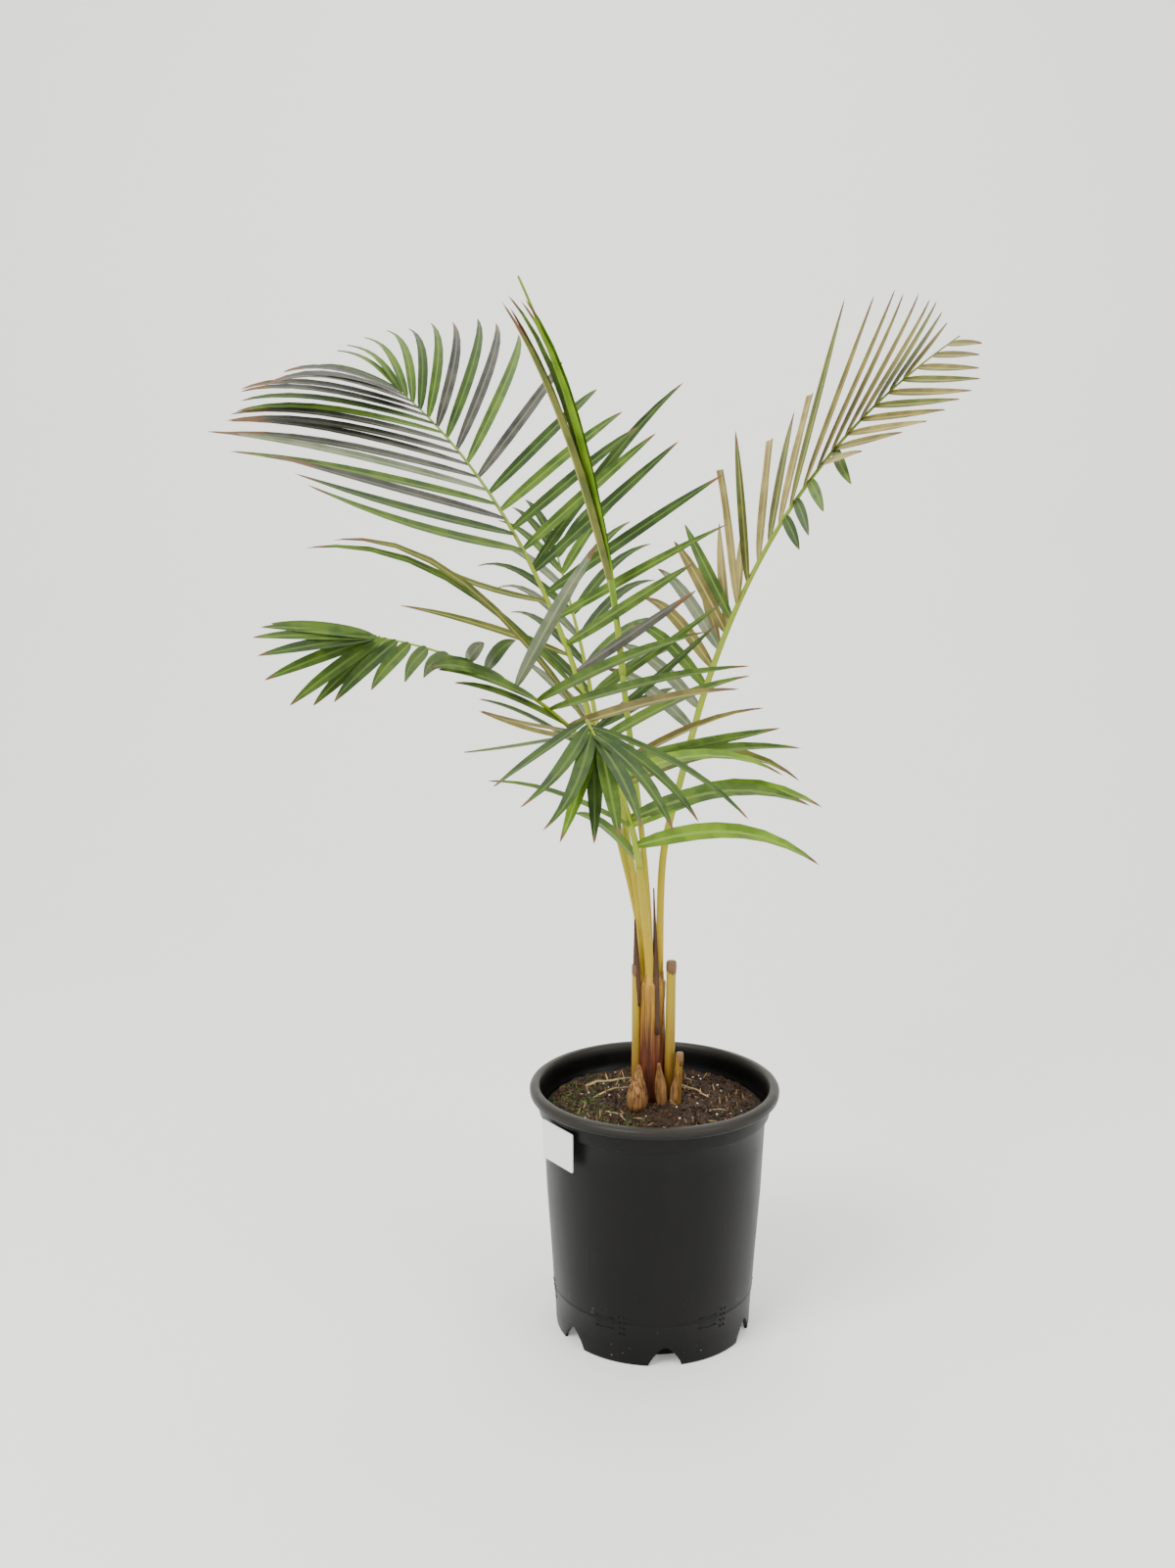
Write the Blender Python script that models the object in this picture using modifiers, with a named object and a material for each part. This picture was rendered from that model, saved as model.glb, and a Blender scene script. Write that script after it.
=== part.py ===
"""A young kosi palm standing in its nursery pot, as separate solids.

Metres, +Z up. The origin is the centre of the pot's flat underside. Seen from the front, which is
-Y, the tall frond leans left and back, the bronze frond leans right and back, the front frond and
the low frond reach forwards, a short frond stands behind them, and a closed spear rises between.
Every frond is a spine that starts at its petiole's tip and turns steadily from one heading to the
next. Rows of leaflets stand on the spine, and their headings, reaches and droops turn as steadily.
"""

import math
import random

import bmesh
import bpy
from mathutils import Quaternion, Vector
from mathutils.bvhtree import BVHTree

GAP = 0.0003
WELD = 0.00001
SEED = 11

# The pot, from its rolled rim down to its foot
POT_HEIGHT = 0.2585
RIM_RADIUS = 0.127
RIM_ROLL = 0.0095
MOUTH_RADIUS = 0.1155
COLLAR_RADIUS = 0.1188
COLLAR_FOOT = 0.229
SHOULDER_RADIUS = 0.1135
FOOT_RADIUS = 0.1003
WALL = 0.0024
FLOOR = 0.003
FOOT_WIDTH = 0.0032
GROOVE_HEIGHT = 0.016
PAD_RADIUS = 0.078
ARCH_COUNT = 6
ARCH_WIDTH = 0.034
ARCH_HEIGHT = 0.024
FIRST_ARCH = -85.0
POT_STEPS = 48

# The filling of the pot, which is a little higher at the stem
SOIL_EDGE = 0.234
SOIL_TOP = 0.243

# The blank tag under the rim
TAG_WIDTH = 0.050
TAG_HEIGHT = 0.0395
TAG_THICKNESS = 0.0012
TAG_TURN = 216.0
TAG_TOP = 0.2392

# The stem, which stands a little left of the pot's middle
STEM = Vector((-0.0045, 0.0, SOIL_TOP + GAP))
STEM_TOP = 0.372
STEM_RADII = (0.0143, 0.0134, 0.0128, 0.0132, 0.0138)
ROUND = 2

# Leaf stalks: how far along each one its rings stand
STALK_SHARES = (0.0, 0.006, 0.13, 0.26, 0.40, 0.54, 0.68, 0.82, 0.97, 1.0)

# Leaflets
BLADE_STATIONS = (0.0, 0.16, 0.38, 0.62, 0.84)
BLADE_WIDTHS = (0.42, 0.86, 1.0, 0.84, 0.46)
LEAST_THICKNESS = 0.0105
RIB_POINTS = 14
RIB_FACING = 0.004
STRAY_TURN = 1.2
STRAY_REACH = 0.015
NUDGES = ((0, 0), (3, 0), (-3, 0), (0, 6), (0, -6), (6, 0), (-6, 0), (0, 12), (0, -12), (9, 12),
          (-9, -12), (9, -12), (-9, 12), (0, 20), (0, -20))

COLOURS = {
    "pot": ((0.017, 0.017, 0.016), 0.42),
    "soil": ((0.045, 0.027, 0.016), 0.95),
    "tag": ((0.80, 0.80, 0.78), 0.55),
    "stem": ((0.20, 0.075, 0.030), 0.55),
    "stub": ((0.36, 0.25, 0.055), 0.55),
    "sheath": ((0.24, 0.13, 0.055), 0.80),
    "petiole": ((0.33, 0.36, 0.055), 0.45),
    "green": ((0.045, 0.10, 0.022), 0.45),
    "bronze": ((0.20, 0.17, 0.070), 0.50),
    "spear": ((0.085, 0.17, 0.030), 0.45),
}

# Every frond: its spine's start, length and headings, its petiole's foot round the stem with the
# shares of the petiole that run straight at its foot and its tip, and its rows of leaflets. Climb is
# the angle above level and turn the angle from +X, both in degrees, and a list of them is spaced
# evenly from the first leaflet to the last.
FRONDS = {
    "left": {
        "colour": "green",
        "start": (-0.049, 0.010, 0.566),
        "length": 0.502,
        "climb": (74, 54, 30),
        "turn": (140, 140, 140),
        "foot": (158.0, 0.0095),
        "bend": (0.35, 0.50),
        "stalk": (0.0038, 0.0036),
        "rib": (0.0036, 0.0010),
        "width": 0.0115,
        "rows": {
            "right": {
                "count": 22, "span": (0.11, 0.98), "crowd": 1.48,
                "climb": (40, 25, 41, 36, 39, 53, 44, 34),
                "turn": (-38, -51, 13, 33, 67, 70, 99, 134),
                "reach": (0.169, 0.214, 0.205, 0.200, 0.285, 0.178, 0.158, 0.120),
                "droop": (0.06, 0.9, 0.9), "pull": (0.08, 0.68, 0.9),
            },
            "tall": {
                "count": 1, "span": (0.46, 0.46), "crowd": 1.0,
                "climb": (44, 44), "turn": (49, 49),
                "reach": (0.304, 0.304),
                "droop": (0.3, 0.3), "pull": (0.0, 0.0),
            },
            "left": {
                "count": 17, "span": (0.50, 0.99), "crowd": 1.29,
                "climb": (8, 10, 15, 14, 12, 8, 15),
                "turn": (246, 238, 197, 204, 213, 245, 233),
                "reach": (0.372, 0.372, 0.255, 0.248, 0.224, 0.280, 0.128),
                "droop": (0.0, 0.0, 0.45), "pull": (0.23, -0.62, 0.01),
            },
            "low": {
                "count": 4, "span": (0.10, 0.38), "crowd": 0.80,
                "climb": (47, 37, 21, 10), "turn": (228, 232, 202, 177), "width": 0.0090,
                "reach": (0.396, 0.384, 0.182, 0.156),
                "droop": (0.9, 0.9, 0.0), "pull": (0.14, 0.42, 0.9),
            },
        },
    },
    "right": {
        "colour": "bronze",
        "start": (0.034, 0.030, 0.602),
        "length": 0.516,
        "climb": (70, 53, 34),
        "turn": (44, 26, 7),
        "foot": (5.0, 0.0090),
        "bend": (0.65, 0.50),
        "stalk": (0.0040, 0.0036),
        "rib": (0.0036, 0.0010),
        "width": 0.0120,
        "rows": {
            "blunt": {
                "count": 5, "span": (0.29, 0.47), "crowd": 1.09,
                "climb": (83, 68, 42, 49), "turn": (155, 87, 79, 70),
                "reach": (0.162, 0.165, 0.208, 0.216),
                "droop": (0.17, 0.09, 0.13), "pull": (-0.19, 0.06, 0.02),
            },
            "top": {
                "count": 9, "span": (0.51, 0.86), "crowd": 1.07,
                "climb": (72, 67, 60, 48, 32), "turn": (30, -19, 7, 36, 51),
                "reach": (0.217, 0.189, 0.157, 0.143, 0.120),
                "droop": (0.0, 0.0, 0.0), "pull": (-0.04, -0.52, -0.33),
            },
            "inner": {
                "count": 3, "span": (0.20, 0.29), "crowd": 0.93,
                "climb": (33, 39, 39), "turn": (98, 91, 82),
                "reach": (0.144, 0.154, 0.120),
                "droop": (0.04, 0.06, 0.1), "pull": (0.16, 0.13, -0.11),
            },
            "right": {
                "count": 10, "span": (0.62, 0.97), "crowd": 1.02,
                "climb": (4, 4, -2, -4, -5), "turn": (276, 299, 298, 292, 283),
                "reach": (0.144, 0.120, 0.128, 0.112, 0.072),
                "droop": (0.08, 0.0, 0.02), "pull": (0.15, 0.14, 0.16),
            },
            "hanging": {
                "count": 4, "span": (0.49, 0.66), "crowd": 0.68,
                "climb": (-25, -15, -20), "turn": (279, 271, 271),
                "reach": (0.064, 0.096, 0.096),
                "droop": (0.26, 0.12, 0.19), "pull": (-0.01, -0.1, 0.16),
            },
            "far": {
                "count": 7, "span": (0.03, 0.26), "crowd": 1.16, "width": 0.0135,
                "climb": (26, 32, 36), "turn": (124, 115, 108),
                "reach": (0.156, 0.159, 0.166),
                "droop": (0.44, 0.33, 0.22), "pull": (-0.04, -0.2, 0.14),
            },
        },
    },
    "low": {
        "colour": "green",
        "start": (-0.038, -0.032, 0.5595),
        "length": 0.338,
        "climb": (42, 35, 10),
        "turn": (256, 219, 183),
        "foot": (207.0, 0.0098),
        "bend": (0.40, 0.15),
        "stalk": (0.0028, 0.0030),
        "rib": (0.0030, 0.0010),
        "width": 0.0120,
        "rows": {
            "right": {
                "count": 5, "span": (0.14, 0.52), "crowd": 1.50,
                "climb": (30, 20, 17, 22), "turn": (361, 306, 313, 305),
                "reach": (0.162, 0.230, 0.258, 0.240),
                "droop": (0.39, 0.24, 0.09), "pull": (-0.06, 0.11, -0.13),
            },
            "crest": {
                "count": 3, "span": (0.60, 0.75), "crowd": 1.50,
                "climb": (40, 24, 25), "turn": (294, 286, 285),
                "reach": (0.211, 0.120, 0.072),
                "droop": (0.17, 0.31, 0.21), "pull": (0.0, -0.04, -0.07),
            },
            "left": {
                "count": 16, "span": (0.22, 1.0), "crowd": 3.43,
                "climb": (32, 14, -5, -29, 1, 13), "turn": (219, 249, 262, 226, 239, 230),
                "roll": -40.0,
                "reach": (0.149, 0.168, 0.112, 0.096, 0.149, 0.112),
                "droop": (0.27, 0.0, 0.13), "pull": (-0.12, -0.24, 0.18),
            },
            "dry": {
                "count": 2, "span": (0.31, 0.36), "crowd": 1.30,
                "climb": (-1, 10), "turn": (138, 218),
                "reach": (0.120, 0.108),
                "droop": (0.0, 0.0), "pull": (0.9, 0.8),
            },
        },
    },
    "front": {
        "colour": "green",
        "start": (-0.018, -0.044, 0.494),
        "length": 0.323,
        "climb": (81, 36, -22),
        "turn": (220, 253, 287),
        "foot": (262.0, 0.0085),
        "bend": (0.20, 0.30),
        "stalk": (0.0052, 0.0036),
        "rib": (0.0036, 0.0012),
        "width": 0.0140,
        "rows": {
            "low": {
                "count": 3, "span": (0.07, 0.16), "crowd": 2.08,
                "climb": (20, 28, 23), "turn": (312, 311, 310), "width": 0.0165,
                "reach": (0.228, 0.240, 0.240),
                "droop": (0.54, 0.49, 0.44), "pull": (-0.25, -0.35, -0.2),
            },
            "right": {
                "count": 4, "span": (0.28, 0.37), "crowd": 1.32,
                "climb": (29, 21, 17, 16), "turn": (331, 306, 317, 314),
                "reach": (0.190, 0.228, 0.223, 0.216),
                "droop": (0.87, 0.37, 0.14), "pull": (-0.36, -0.06, 0.15),
            },
            "tip": {
                "count": 5, "span": (0.86, 1.0), "crowd": 1.0,
                "climb": (-18, -14, -7, -22), "turn": (337, 305, 285, 276),
                "reach": (0.159, 0.136, 0.168, 0.132),
                "droop": (0.55, 0.6, 0.0), "pull": (0.14, -0.5, -0.02),
            },
            "left": {
                "count": 6, "span": (0.56, 0.91), "crowd": 3.50,
                "climb": (-1, -12, -14, -23, -32), "turn": (229, 246, 263, 262, 271),
                "reach": (0.168, 0.151, 0.156, 0.137, 0.120),
                "droop": (0.0, 0.0, 0.32), "pull": (0.23, -0.9, -0.35),
            },
            "thin": {
                "count": 2, "span": (0.02, 0.13), "crowd": 1.30,
                "climb": (34, 29), "turn": (138, 217),
                "reach": (0.096, 0.180),
                "droop": (0.51, 0.34), "pull": (-0.18, -0.04),
            },
        },
    },
    "back": {
        "colour": "green",
        "start": (-0.054, 0.045, 0.589),
        "length": 0.318,
        "climb": (67, 40, 19),
        "turn": (110, 104, 97),
        "foot": (95.0, 0.0088),
        "bend": (0.35, 0.30),
        "stalk": (0.0036, 0.0028),
        "rib": (0.0028, 0.0010),
        "width": 0.0115,
        "rows": {
            "right": {
                "count": 9, "span": (0.09, 0.97), "crowd": 1.0,
                "climb": (13, 20, 41, 54), "turn": (54, 69, 55, 43),
                "reach": (0.156, 0.200, 0.117, 0.072),
                "droop": (0.45, 0.02, 0.56), "pull": (0.29, -0.63, 0.2),
            },
            "left": {
                "count": 9, "span": (0.09, 0.97), "crowd": 1.0,
                "climb": (25, 21, 37, 53), "turn": (127, 117, 143, 137),
                "reach": (0.144, 0.200, 0.117, 0.072),
                "droop": (0.23, 0.32, 0.61), "pull": (0.07, -0.48, 0.25),
            },
        },
    },
    "spear": {
        "colour": "spear",
        "start": (-0.034, -0.008, 0.677),
        "length": 0.383,
        "climb": (84, 75, 65),
        "turn": (205, 194, 183),
        "foot": (0.0, 0.0),
        "bend": (0.35, 0.20),
        "stalk": (0.0030, 0.0032),
        "rib": (0.0034, 0.0016),
        "width": 0.0120,
        "rows": {
            "right": {
                "count": 3, "span": (0.12, 0.27), "crowd": 1.0,
                "climb": (78, 77, 75), "turn": (211, 207, 203),
                "reach": (0.318, 0.292, 0.266),
                "droop": (0.71, 0.65), "pull": (-0.05, -0.06),
            },
            "left": {
                "count": 2, "span": (0.17, 0.25), "crowd": 1.0,
                "climb": (72, 72), "turn": (204, 205),
                "reach": (0.298, 0.272),
                "droop": (0.55, 0.54), "pull": (0.02, 0.02),
            },
        },
    },
}


def clear_scene():
    for thing in list(bpy.data.objects):
        bpy.data.objects.remove(thing, do_unlink=True)


def new_collection(name):
    group = bpy.data.collections.new(name)
    bpy.context.scene.collection.children.link(group)
    return group


def material_of(name):
    """The plain paint of one kind of piece."""
    paint = bpy.data.materials.get(name)
    if paint is None:
        colour, roughness = COLOURS[name]
        paint = bpy.data.materials.new(name)
        paint.use_nodes = True
        shader = paint.node_tree.nodes["Principled BSDF"]
        shader.inputs["Base Color"].default_value = (*colour, 1.0)
        shader.inputs["Roughness"].default_value = roughness
        shader.inputs["Metallic"].default_value = 0.0
    return paint


def add_object(name, data, group, colour=None):
    thing = bpy.data.objects.new(name, data)
    group.objects.link(thing)
    if colour:
        data.materials.append(material_of(colour))
    return thing


def mesh_of(bm, name):
    mesh = bpy.data.meshes.new(name)
    bm.normal_update()
    bm.to_mesh(mesh)
    bm.free()
    return mesh


def plain_mesh(thing):
    """The evaluated mesh of an object, with the loose caps of a curve welded on."""
    bpy.context.view_layer.update()
    evaluated = thing.evaluated_get(bpy.context.evaluated_depsgraph_get())
    mesh = bpy.data.meshes.new_from_object(evaluated)
    if thing.type == "CURVE":
        bm = bmesh.new()
        bm.from_mesh(mesh)
        bmesh.ops.remove_doubles(bm, verts=bm.verts, dist=WELD)
        bm.to_mesh(mesh)
        bm.free()
    return mesh


def turned(name, profile, group, colour):
    """A solid of revolution: the profile runs down the outer side and back up the inner one."""
    bm = bmesh.new()
    points = [bm.verts.new((radius, 0.0, height)) for radius, height in profile]
    for first, second in zip(points, points[1:]):
        bm.edges.new((first, second))
    if profile[0][0] > 0.0:
        bm.edges.new((points[-1], points[0]))
    thing = add_object(name, mesh_of(bm, name), group, colour)
    screw = thing.modifiers.new("turn", "SCREW")
    screw.steps = POT_STEPS
    screw.render_steps = POT_STEPS
    screw.use_merge_vertices = True
    screw.merge_threshold = 0.00001
    screw.use_smooth_shade = True
    return thing


def limb(name, points, radii, group, colour):
    """A tapering limb along its points, round, with flat ends."""
    curve = bpy.data.curves.new(name, "CURVE")
    curve.dimensions = "3D"
    curve.bevel_depth = 1.0
    curve.bevel_resolution = ROUND
    curve.use_fill_caps = True
    spline = curve.splines.new("POLY")
    spline.points.add(len(points) - 1)
    for place, point, radius in zip(spline.points, points, radii):
        place.co = (*point, 1.0)
        place.radius = radius
    return add_object(name, curve, group, colour)


def steady(values, share):
    """The smooth curve through evenly spaced values, read at a share of its length."""
    last = len(values) - 1
    place = min(max(share, 0.0), 1.0) * last
    index = min(int(place), last - 1)
    step = place - index
    here, after = values[index], values[index + 1]
    before = values[index - 1] if index > 0 else 2 * here - after
    beyond = values[index + 2] if index + 2 <= last else 2 * after - here
    slope = after - before
    bend = 2 * before - 5 * here + 4 * after - beyond
    twist = -before + 3 * here - 3 * after + beyond
    return here + 0.5 * (slope * step + bend * step ** 2 + twist * step ** 3)


def heading(climb, turn):
    """The way forwards and the way up across it, for a climb above level and a turn from +X."""
    rise, round_ = math.radians(climb), math.radians(turn)
    level = Vector((math.cos(round_), math.sin(round_), 0.0))
    forwards = level * math.cos(rise) + Vector((0.0, 0.0, math.sin(rise)))
    upwards = level * -math.sin(rise) + Vector((0.0, 0.0, math.cos(rise)))
    return forwards, upwards


def spine_of(frond, steps=30):
    """Points along a frond's spine, from the petiole's tip to the last leaflet."""
    point = Vector(frond["start"])
    points = [point.copy()]
    for step in range(steps):
        share = (step + 0.5) / steps
        forwards, _ = heading(steady(frond["climb"], share), steady(frond["turn"], share))
        point = point + forwards * (frond["length"] / steps)
        points.append(point.copy())
    return points


def point_on(points, share):
    place = min(max(share, 0.0), 1.0) * (len(points) - 1)
    index = min(int(place), len(points) - 2)
    return points[index].lerp(points[index + 1], place - index)


def leaflet_path(frond, spine, row, order, stray, nudge, shares):
    """Where a leaflet runs, with the way across its blade and the way its face looks."""
    first, last = row["span"]
    share = first + (last - first) * (1.0 - (1.0 - order) ** row["crowd"])
    along, face = heading(steady(frond["climb"], share), steady(frond["turn"], share))
    climb = steady(row["climb"], order) + STRAY_TURN * stray[0] + nudge[0]
    turn = steady(row["turn"], order) + STRAY_TURN * stray[1] + nudge[1]
    reach = steady(row["reach"], order) * (1.0 + STRAY_REACH * stray[2])
    droop = steady(row["droop"], order)
    pull = steady(row["pull"], order)
    roll = math.radians(row.get("roll", 0.0))
    forwards, _ = heading(climb, turn)
    point = point_on(spine, share)
    place = 0.0
    path = []
    for target in (*shares, 1.0):
        while place < target - 1e-9:
            step = min(0.05, target - place)
            middle = place + step / 2
            way = forwards + (Vector((0.0, 0.0, -droop)) + along * pull) * middle ** 2
            point = point + way.normalized() * (reach * step)
            place += step
        way = (forwards + (Vector((0.0, 0.0, -droop)) + along * pull) * place ** 2).normalized()
        normal = (face - way * face.dot(way)).normalized()
        normal.rotate(Quaternion(way, roll))
        path.append((point.copy(), way.cross(normal), normal))
    return path, reach


def blade_mesh(name, path, widths, thickness):
    """A slim leaflet: flat below, with a ridge above, and a point at its end."""
    bm = bmesh.new()
    rings = []
    for (point, across, normal), width in zip(path, widths):
        ridge = normal * thickness * (0.4 + 0.6 * width / max(widths))
        corners = (point - across * width / 2, point + across * width / 2, point + ridge)
        rings.append([bm.verts.new(corner) for corner in corners])
    tip = bm.verts.new(path[-1][0])
    bm.faces.new(rings[0])
    for near, far in zip(rings, rings[1:]):
        for index in range(3):
            other = (index + 1) % 3
            bm.faces.new((near[index], far[index], far[other], near[other]))
    for index in range(3):
        bm.faces.new((rings[-1][index], tip, rings[-1][(index + 1) % 3]))
    bmesh.ops.recalc_face_normals(bm, faces=bm.faces)
    return mesh_of(bm, name)


def touches(mesh, trees):
    bm = bmesh.new()
    bm.from_mesh(mesh)
    own = BVHTree.FromBMesh(bm)
    bm.free()
    return any(own.overlap(tree) for tree in trees)


def tree_of(mesh):
    bm = bmesh.new()
    bm.from_mesh(mesh)
    tree = BVHTree.FromBMesh(bm)
    bm.free()
    return tree


def keep_outer_skin(mesh):
    """Only the largest closed skin stays, so a sealed hollow is filled and a loose scrap dropped."""
    bm = bmesh.new()
    bm.from_mesh(mesh)
    waiting = set(bm.faces)
    skins = []
    while waiting:
        rim_of_skin = [waiting.pop()]
        skin = set(rim_of_skin)
        while rim_of_skin:
            face = rim_of_skin.pop()
            for edge in face.edges:
                for other in edge.link_faces:
                    if other not in skin:
                        skin.add(other)
                        rim_of_skin.append(other)
        waiting -= skin
        skins.append(skin)
    skins.sort(key=len)
    for skin in skins[:-1]:
        print("left out a skin of", len(skin), "faces")
        bmesh.ops.delete(bm, geom=list(skin), context="FACES")
    bm.to_mesh(mesh)
    bm.free()


def fuse(name, meshes, group, colour):
    """One closed body from a rib and the leaflets whose roots are sunk in it."""
    scraps = bpy.data.collections.new(name + "_pieces")
    bpy.context.scene.collection.children.link(scraps)
    whole = add_object(name, meshes[0], group)
    for mesh in meshes[1:]:
        add_object(mesh.name, mesh, scraps)
    union = whole.modifiers.new("join", "BOOLEAN")
    union.operation = "UNION"
    union.operand_type = "COLLECTION"
    union.collection = scraps
    union.solver = "MANIFOLD"
    joined = plain_mesh(whole)
    keep_outer_skin(joined)
    whole.modifiers.clear()
    whole.data = joined
    joined.materials.clear()
    joined.materials.append(material_of(colour))
    for thing in list(scraps.objects):
        bpy.data.objects.remove(thing, do_unlink=True)
    bpy.data.collections.remove(scraps)
    return whole


def build_pot(group, cutters):
    mouth = RIM_RADIUS - RIM_ROLL
    low = POT_HEIGHT - RIM_ROLL
    groove_top = GROOVE_HEIGHT + FLOOR
    profile = [
        (mouth, POT_HEIGHT - 0.0006),
        (mouth + 0.0022, POT_HEIGHT),
        (RIM_RADIUS - 0.0026, POT_HEIGHT - 0.0006),
        (RIM_RADIUS, POT_HEIGHT - 0.0036),
        (RIM_RADIUS - 0.0006, low - 0.0004),
        (RIM_RADIUS - 0.0022, low - 0.0012),
        (COLLAR_RADIUS + 0.0004, low - 0.0012),
        (COLLAR_RADIUS, low - 0.0030),
        (COLLAR_RADIUS - 0.0012, COLLAR_FOOT + 0.0016),
        (SHOULDER_RADIUS, COLLAR_FOOT),
        (0.1100, 0.150),
        (0.1052, 0.080),
        (FOOT_RADIUS + 0.0006, 0.016),
        (FOOT_RADIUS, 0.0),
        (FOOT_RADIUS - FOOT_WIDTH, 0.0),
        (FOOT_RADIUS - FOOT_WIDTH - 0.0012, GROOVE_HEIGHT),
        (PAD_RADIUS + 0.0020, GROOVE_HEIGHT),
        (PAD_RADIUS, 0.0),
        (0.0, 0.0),
        (0.0, FLOOR),
        (PAD_RADIUS - FLOOR, FLOOR),
        (PAD_RADIUS - 0.0012, groove_top),
        (FOOT_RADIUS - WALL, groove_top),
        (0.1052 - WALL, 0.080),
        (0.1100 - WALL, 0.150),
        (SHOULDER_RADIUS - WALL, COLLAR_FOOT - 0.001),
        (MOUTH_RADIUS - 0.0008, COLLAR_FOOT + 0.004),
        (MOUTH_RADIUS, low - 0.004),
    ]
    pot = turned("pot", profile, group, "pot")
    for index in range(ARCH_COUNT):
        turn = math.radians(FIRST_ARCH + index * 360.0 / ARCH_COUNT)
        cutter = arch_cutter(f"arch_{index}", turn, cutters)
        cut = pot.modifiers.new(f"arch_{index}", "BOOLEAN")
        cut.operation = "DIFFERENCE"
        cut.object = cutter
    return pot


def arch_cutter(name, turn, group):
    """A pointed arch, pushed outwards through the pot's foot."""
    outline = [(-0.5, -0.2), (0.5, -0.2), (0.42, 0.28), (0.27, 0.66), (0.10, 0.94)]
    outline += [(-x, z) for x, z in reversed(outline[2:])]
    inner, outer = PAD_RADIUS + 0.004, FOOT_RADIUS + 0.01
    outwards = Vector((math.cos(turn), math.sin(turn), 0.0))
    sideways = Vector((-math.sin(turn), math.cos(turn), 0.0))
    bm = bmesh.new()
    ends = []
    for radius in (inner, outer):
        ring = []
        for across, height in outline:
            place = outwards * radius + sideways * across * ARCH_WIDTH
            place.z = height * min(ARCH_HEIGHT, GROOVE_HEIGHT - 0.001) if radius == inner else (
                height * ARCH_HEIGHT)
            ring.append(bm.verts.new(place))
        ends.append(ring)
    bm.faces.new(ends[0])
    bm.faces.new(list(reversed(ends[1])))
    count = len(outline)
    for index in range(count):
        other = (index + 1) % count
        bm.faces.new((ends[0][index], ends[1][index], ends[1][other], ends[0][other]))
    bmesh.ops.recalc_face_normals(bm, faces=bm.faces)
    cutter = add_object(name, mesh_of(bm, name), group)
    cutter.hide_render = True
    cutter.display_type = "WIRE"
    return cutter


def build_soil(group):
    groove_top = GROOVE_HEIGHT + FLOOR + GAP
    profile = [
        (0.0, SOIL_TOP),
        (0.030, SOIL_TOP),
        (0.060, SOIL_TOP - 0.003),
        (0.098, SOIL_EDGE),
        (SHOULDER_RADIUS - WALL - 0.0005, SOIL_EDGE - 0.007),
        (0.1100 - WALL - GAP, 0.150),
        (0.1052 - WALL - GAP, 0.080),
        (FOOT_RADIUS - WALL - GAP, groove_top),
        (PAD_RADIUS - 0.0012 - 0.0006, groove_top),
        (PAD_RADIUS - FLOOR - 0.0006, FLOOR + GAP),
        (0.0, FLOOR + GAP),
    ]
    return turned("soil", profile, group, "soil")


def build_tag(group):
    bpy.ops.mesh.primitive_cube_add(size=1.0)
    tag = bpy.context.object
    tag.name = "tag"
    tag.scale = (TAG_THICKNESS, TAG_WIDTH, TAG_HEIGHT)
    bpy.ops.object.transform_apply(location=False, rotation=False, scale=True)
    turn = math.radians(TAG_TURN)
    distance = COLLAR_RADIUS + 0.0004 + GAP + TAG_THICKNESS / 2
    tag.location = (distance * math.cos(turn), distance * math.sin(turn), TAG_TOP - TAG_HEIGHT / 2)
    tag.rotation_euler = (0.0, 0.0, turn)
    for holder in list(tag.users_collection):
        holder.objects.unlink(tag)
    group.objects.link(tag)
    tag.data.materials.append(material_of("tag"))
    return tag


def build_stem(group):
    points = [STEM.lerp(Vector((STEM.x, STEM.y, STEM_TOP)), share)
              for share in (0.0, 0.12, 0.35, 0.75, 1.0)]
    return limb("stem", points, STEM_RADII, group, "stem")


def build_petiole(name, frond, group):
    """A leaf stalk, from its place on the stem's top to the start of its frond's spine."""
    turn, distance = frond["foot"]
    round_ = math.radians(turn)
    foot = Vector((STEM.x + distance * math.cos(round_), STEM.y + distance * math.sin(round_),
                   STEM_TOP + GAP))
    forwards, _ = heading(frond["climb"][0], frond["turn"][0])
    tip = Vector(frond["start"]) - forwards * GAP
    reach = (tip - foot).length
    first = foot + Vector((0.0, 0.0, reach * frond["bend"][0]))
    second = tip - forwards * reach * frond["bend"][1]
    points = []
    radii = []
    for share in STALK_SHARES:
        rest = 1.0 - share
        points.append(foot * rest ** 3 + first * 3 * rest ** 2 * share
                      + second * 3 * rest * share ** 2 + tip * share ** 3)
        radii.append(frond["stalk"][0] * rest + frond["stalk"][1] * share)
    return limb(name, points, radii, group, "petiole")


def build_stubs(group):
    """Cut stalks of older leaves, which stand close round the stem."""
    stubs = {
        "stub_left": ((-0.0153, -0.0108), 0.0040, 0.386, 0.0),
        "stub_right": ((0.0198, -0.0045), 0.0047, 0.3875, 0.0012),
        "stub_low": ((0.0268, -0.0135), 0.0046, 0.294, 0.0025),
    }
    for name, (place, radius, top, lean) in stubs.items():
        foot = Vector((STEM.x + place[0], STEM.y + place[1], STEM.z))
        tip = Vector((foot.x + lean, foot.y, top))
        points = [foot.lerp(tip, share) for share in (0.0, 0.5, 1.0)]
        limb(name, points, (radius, radius * 0.97, radius * 0.92), group, "stub")


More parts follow.
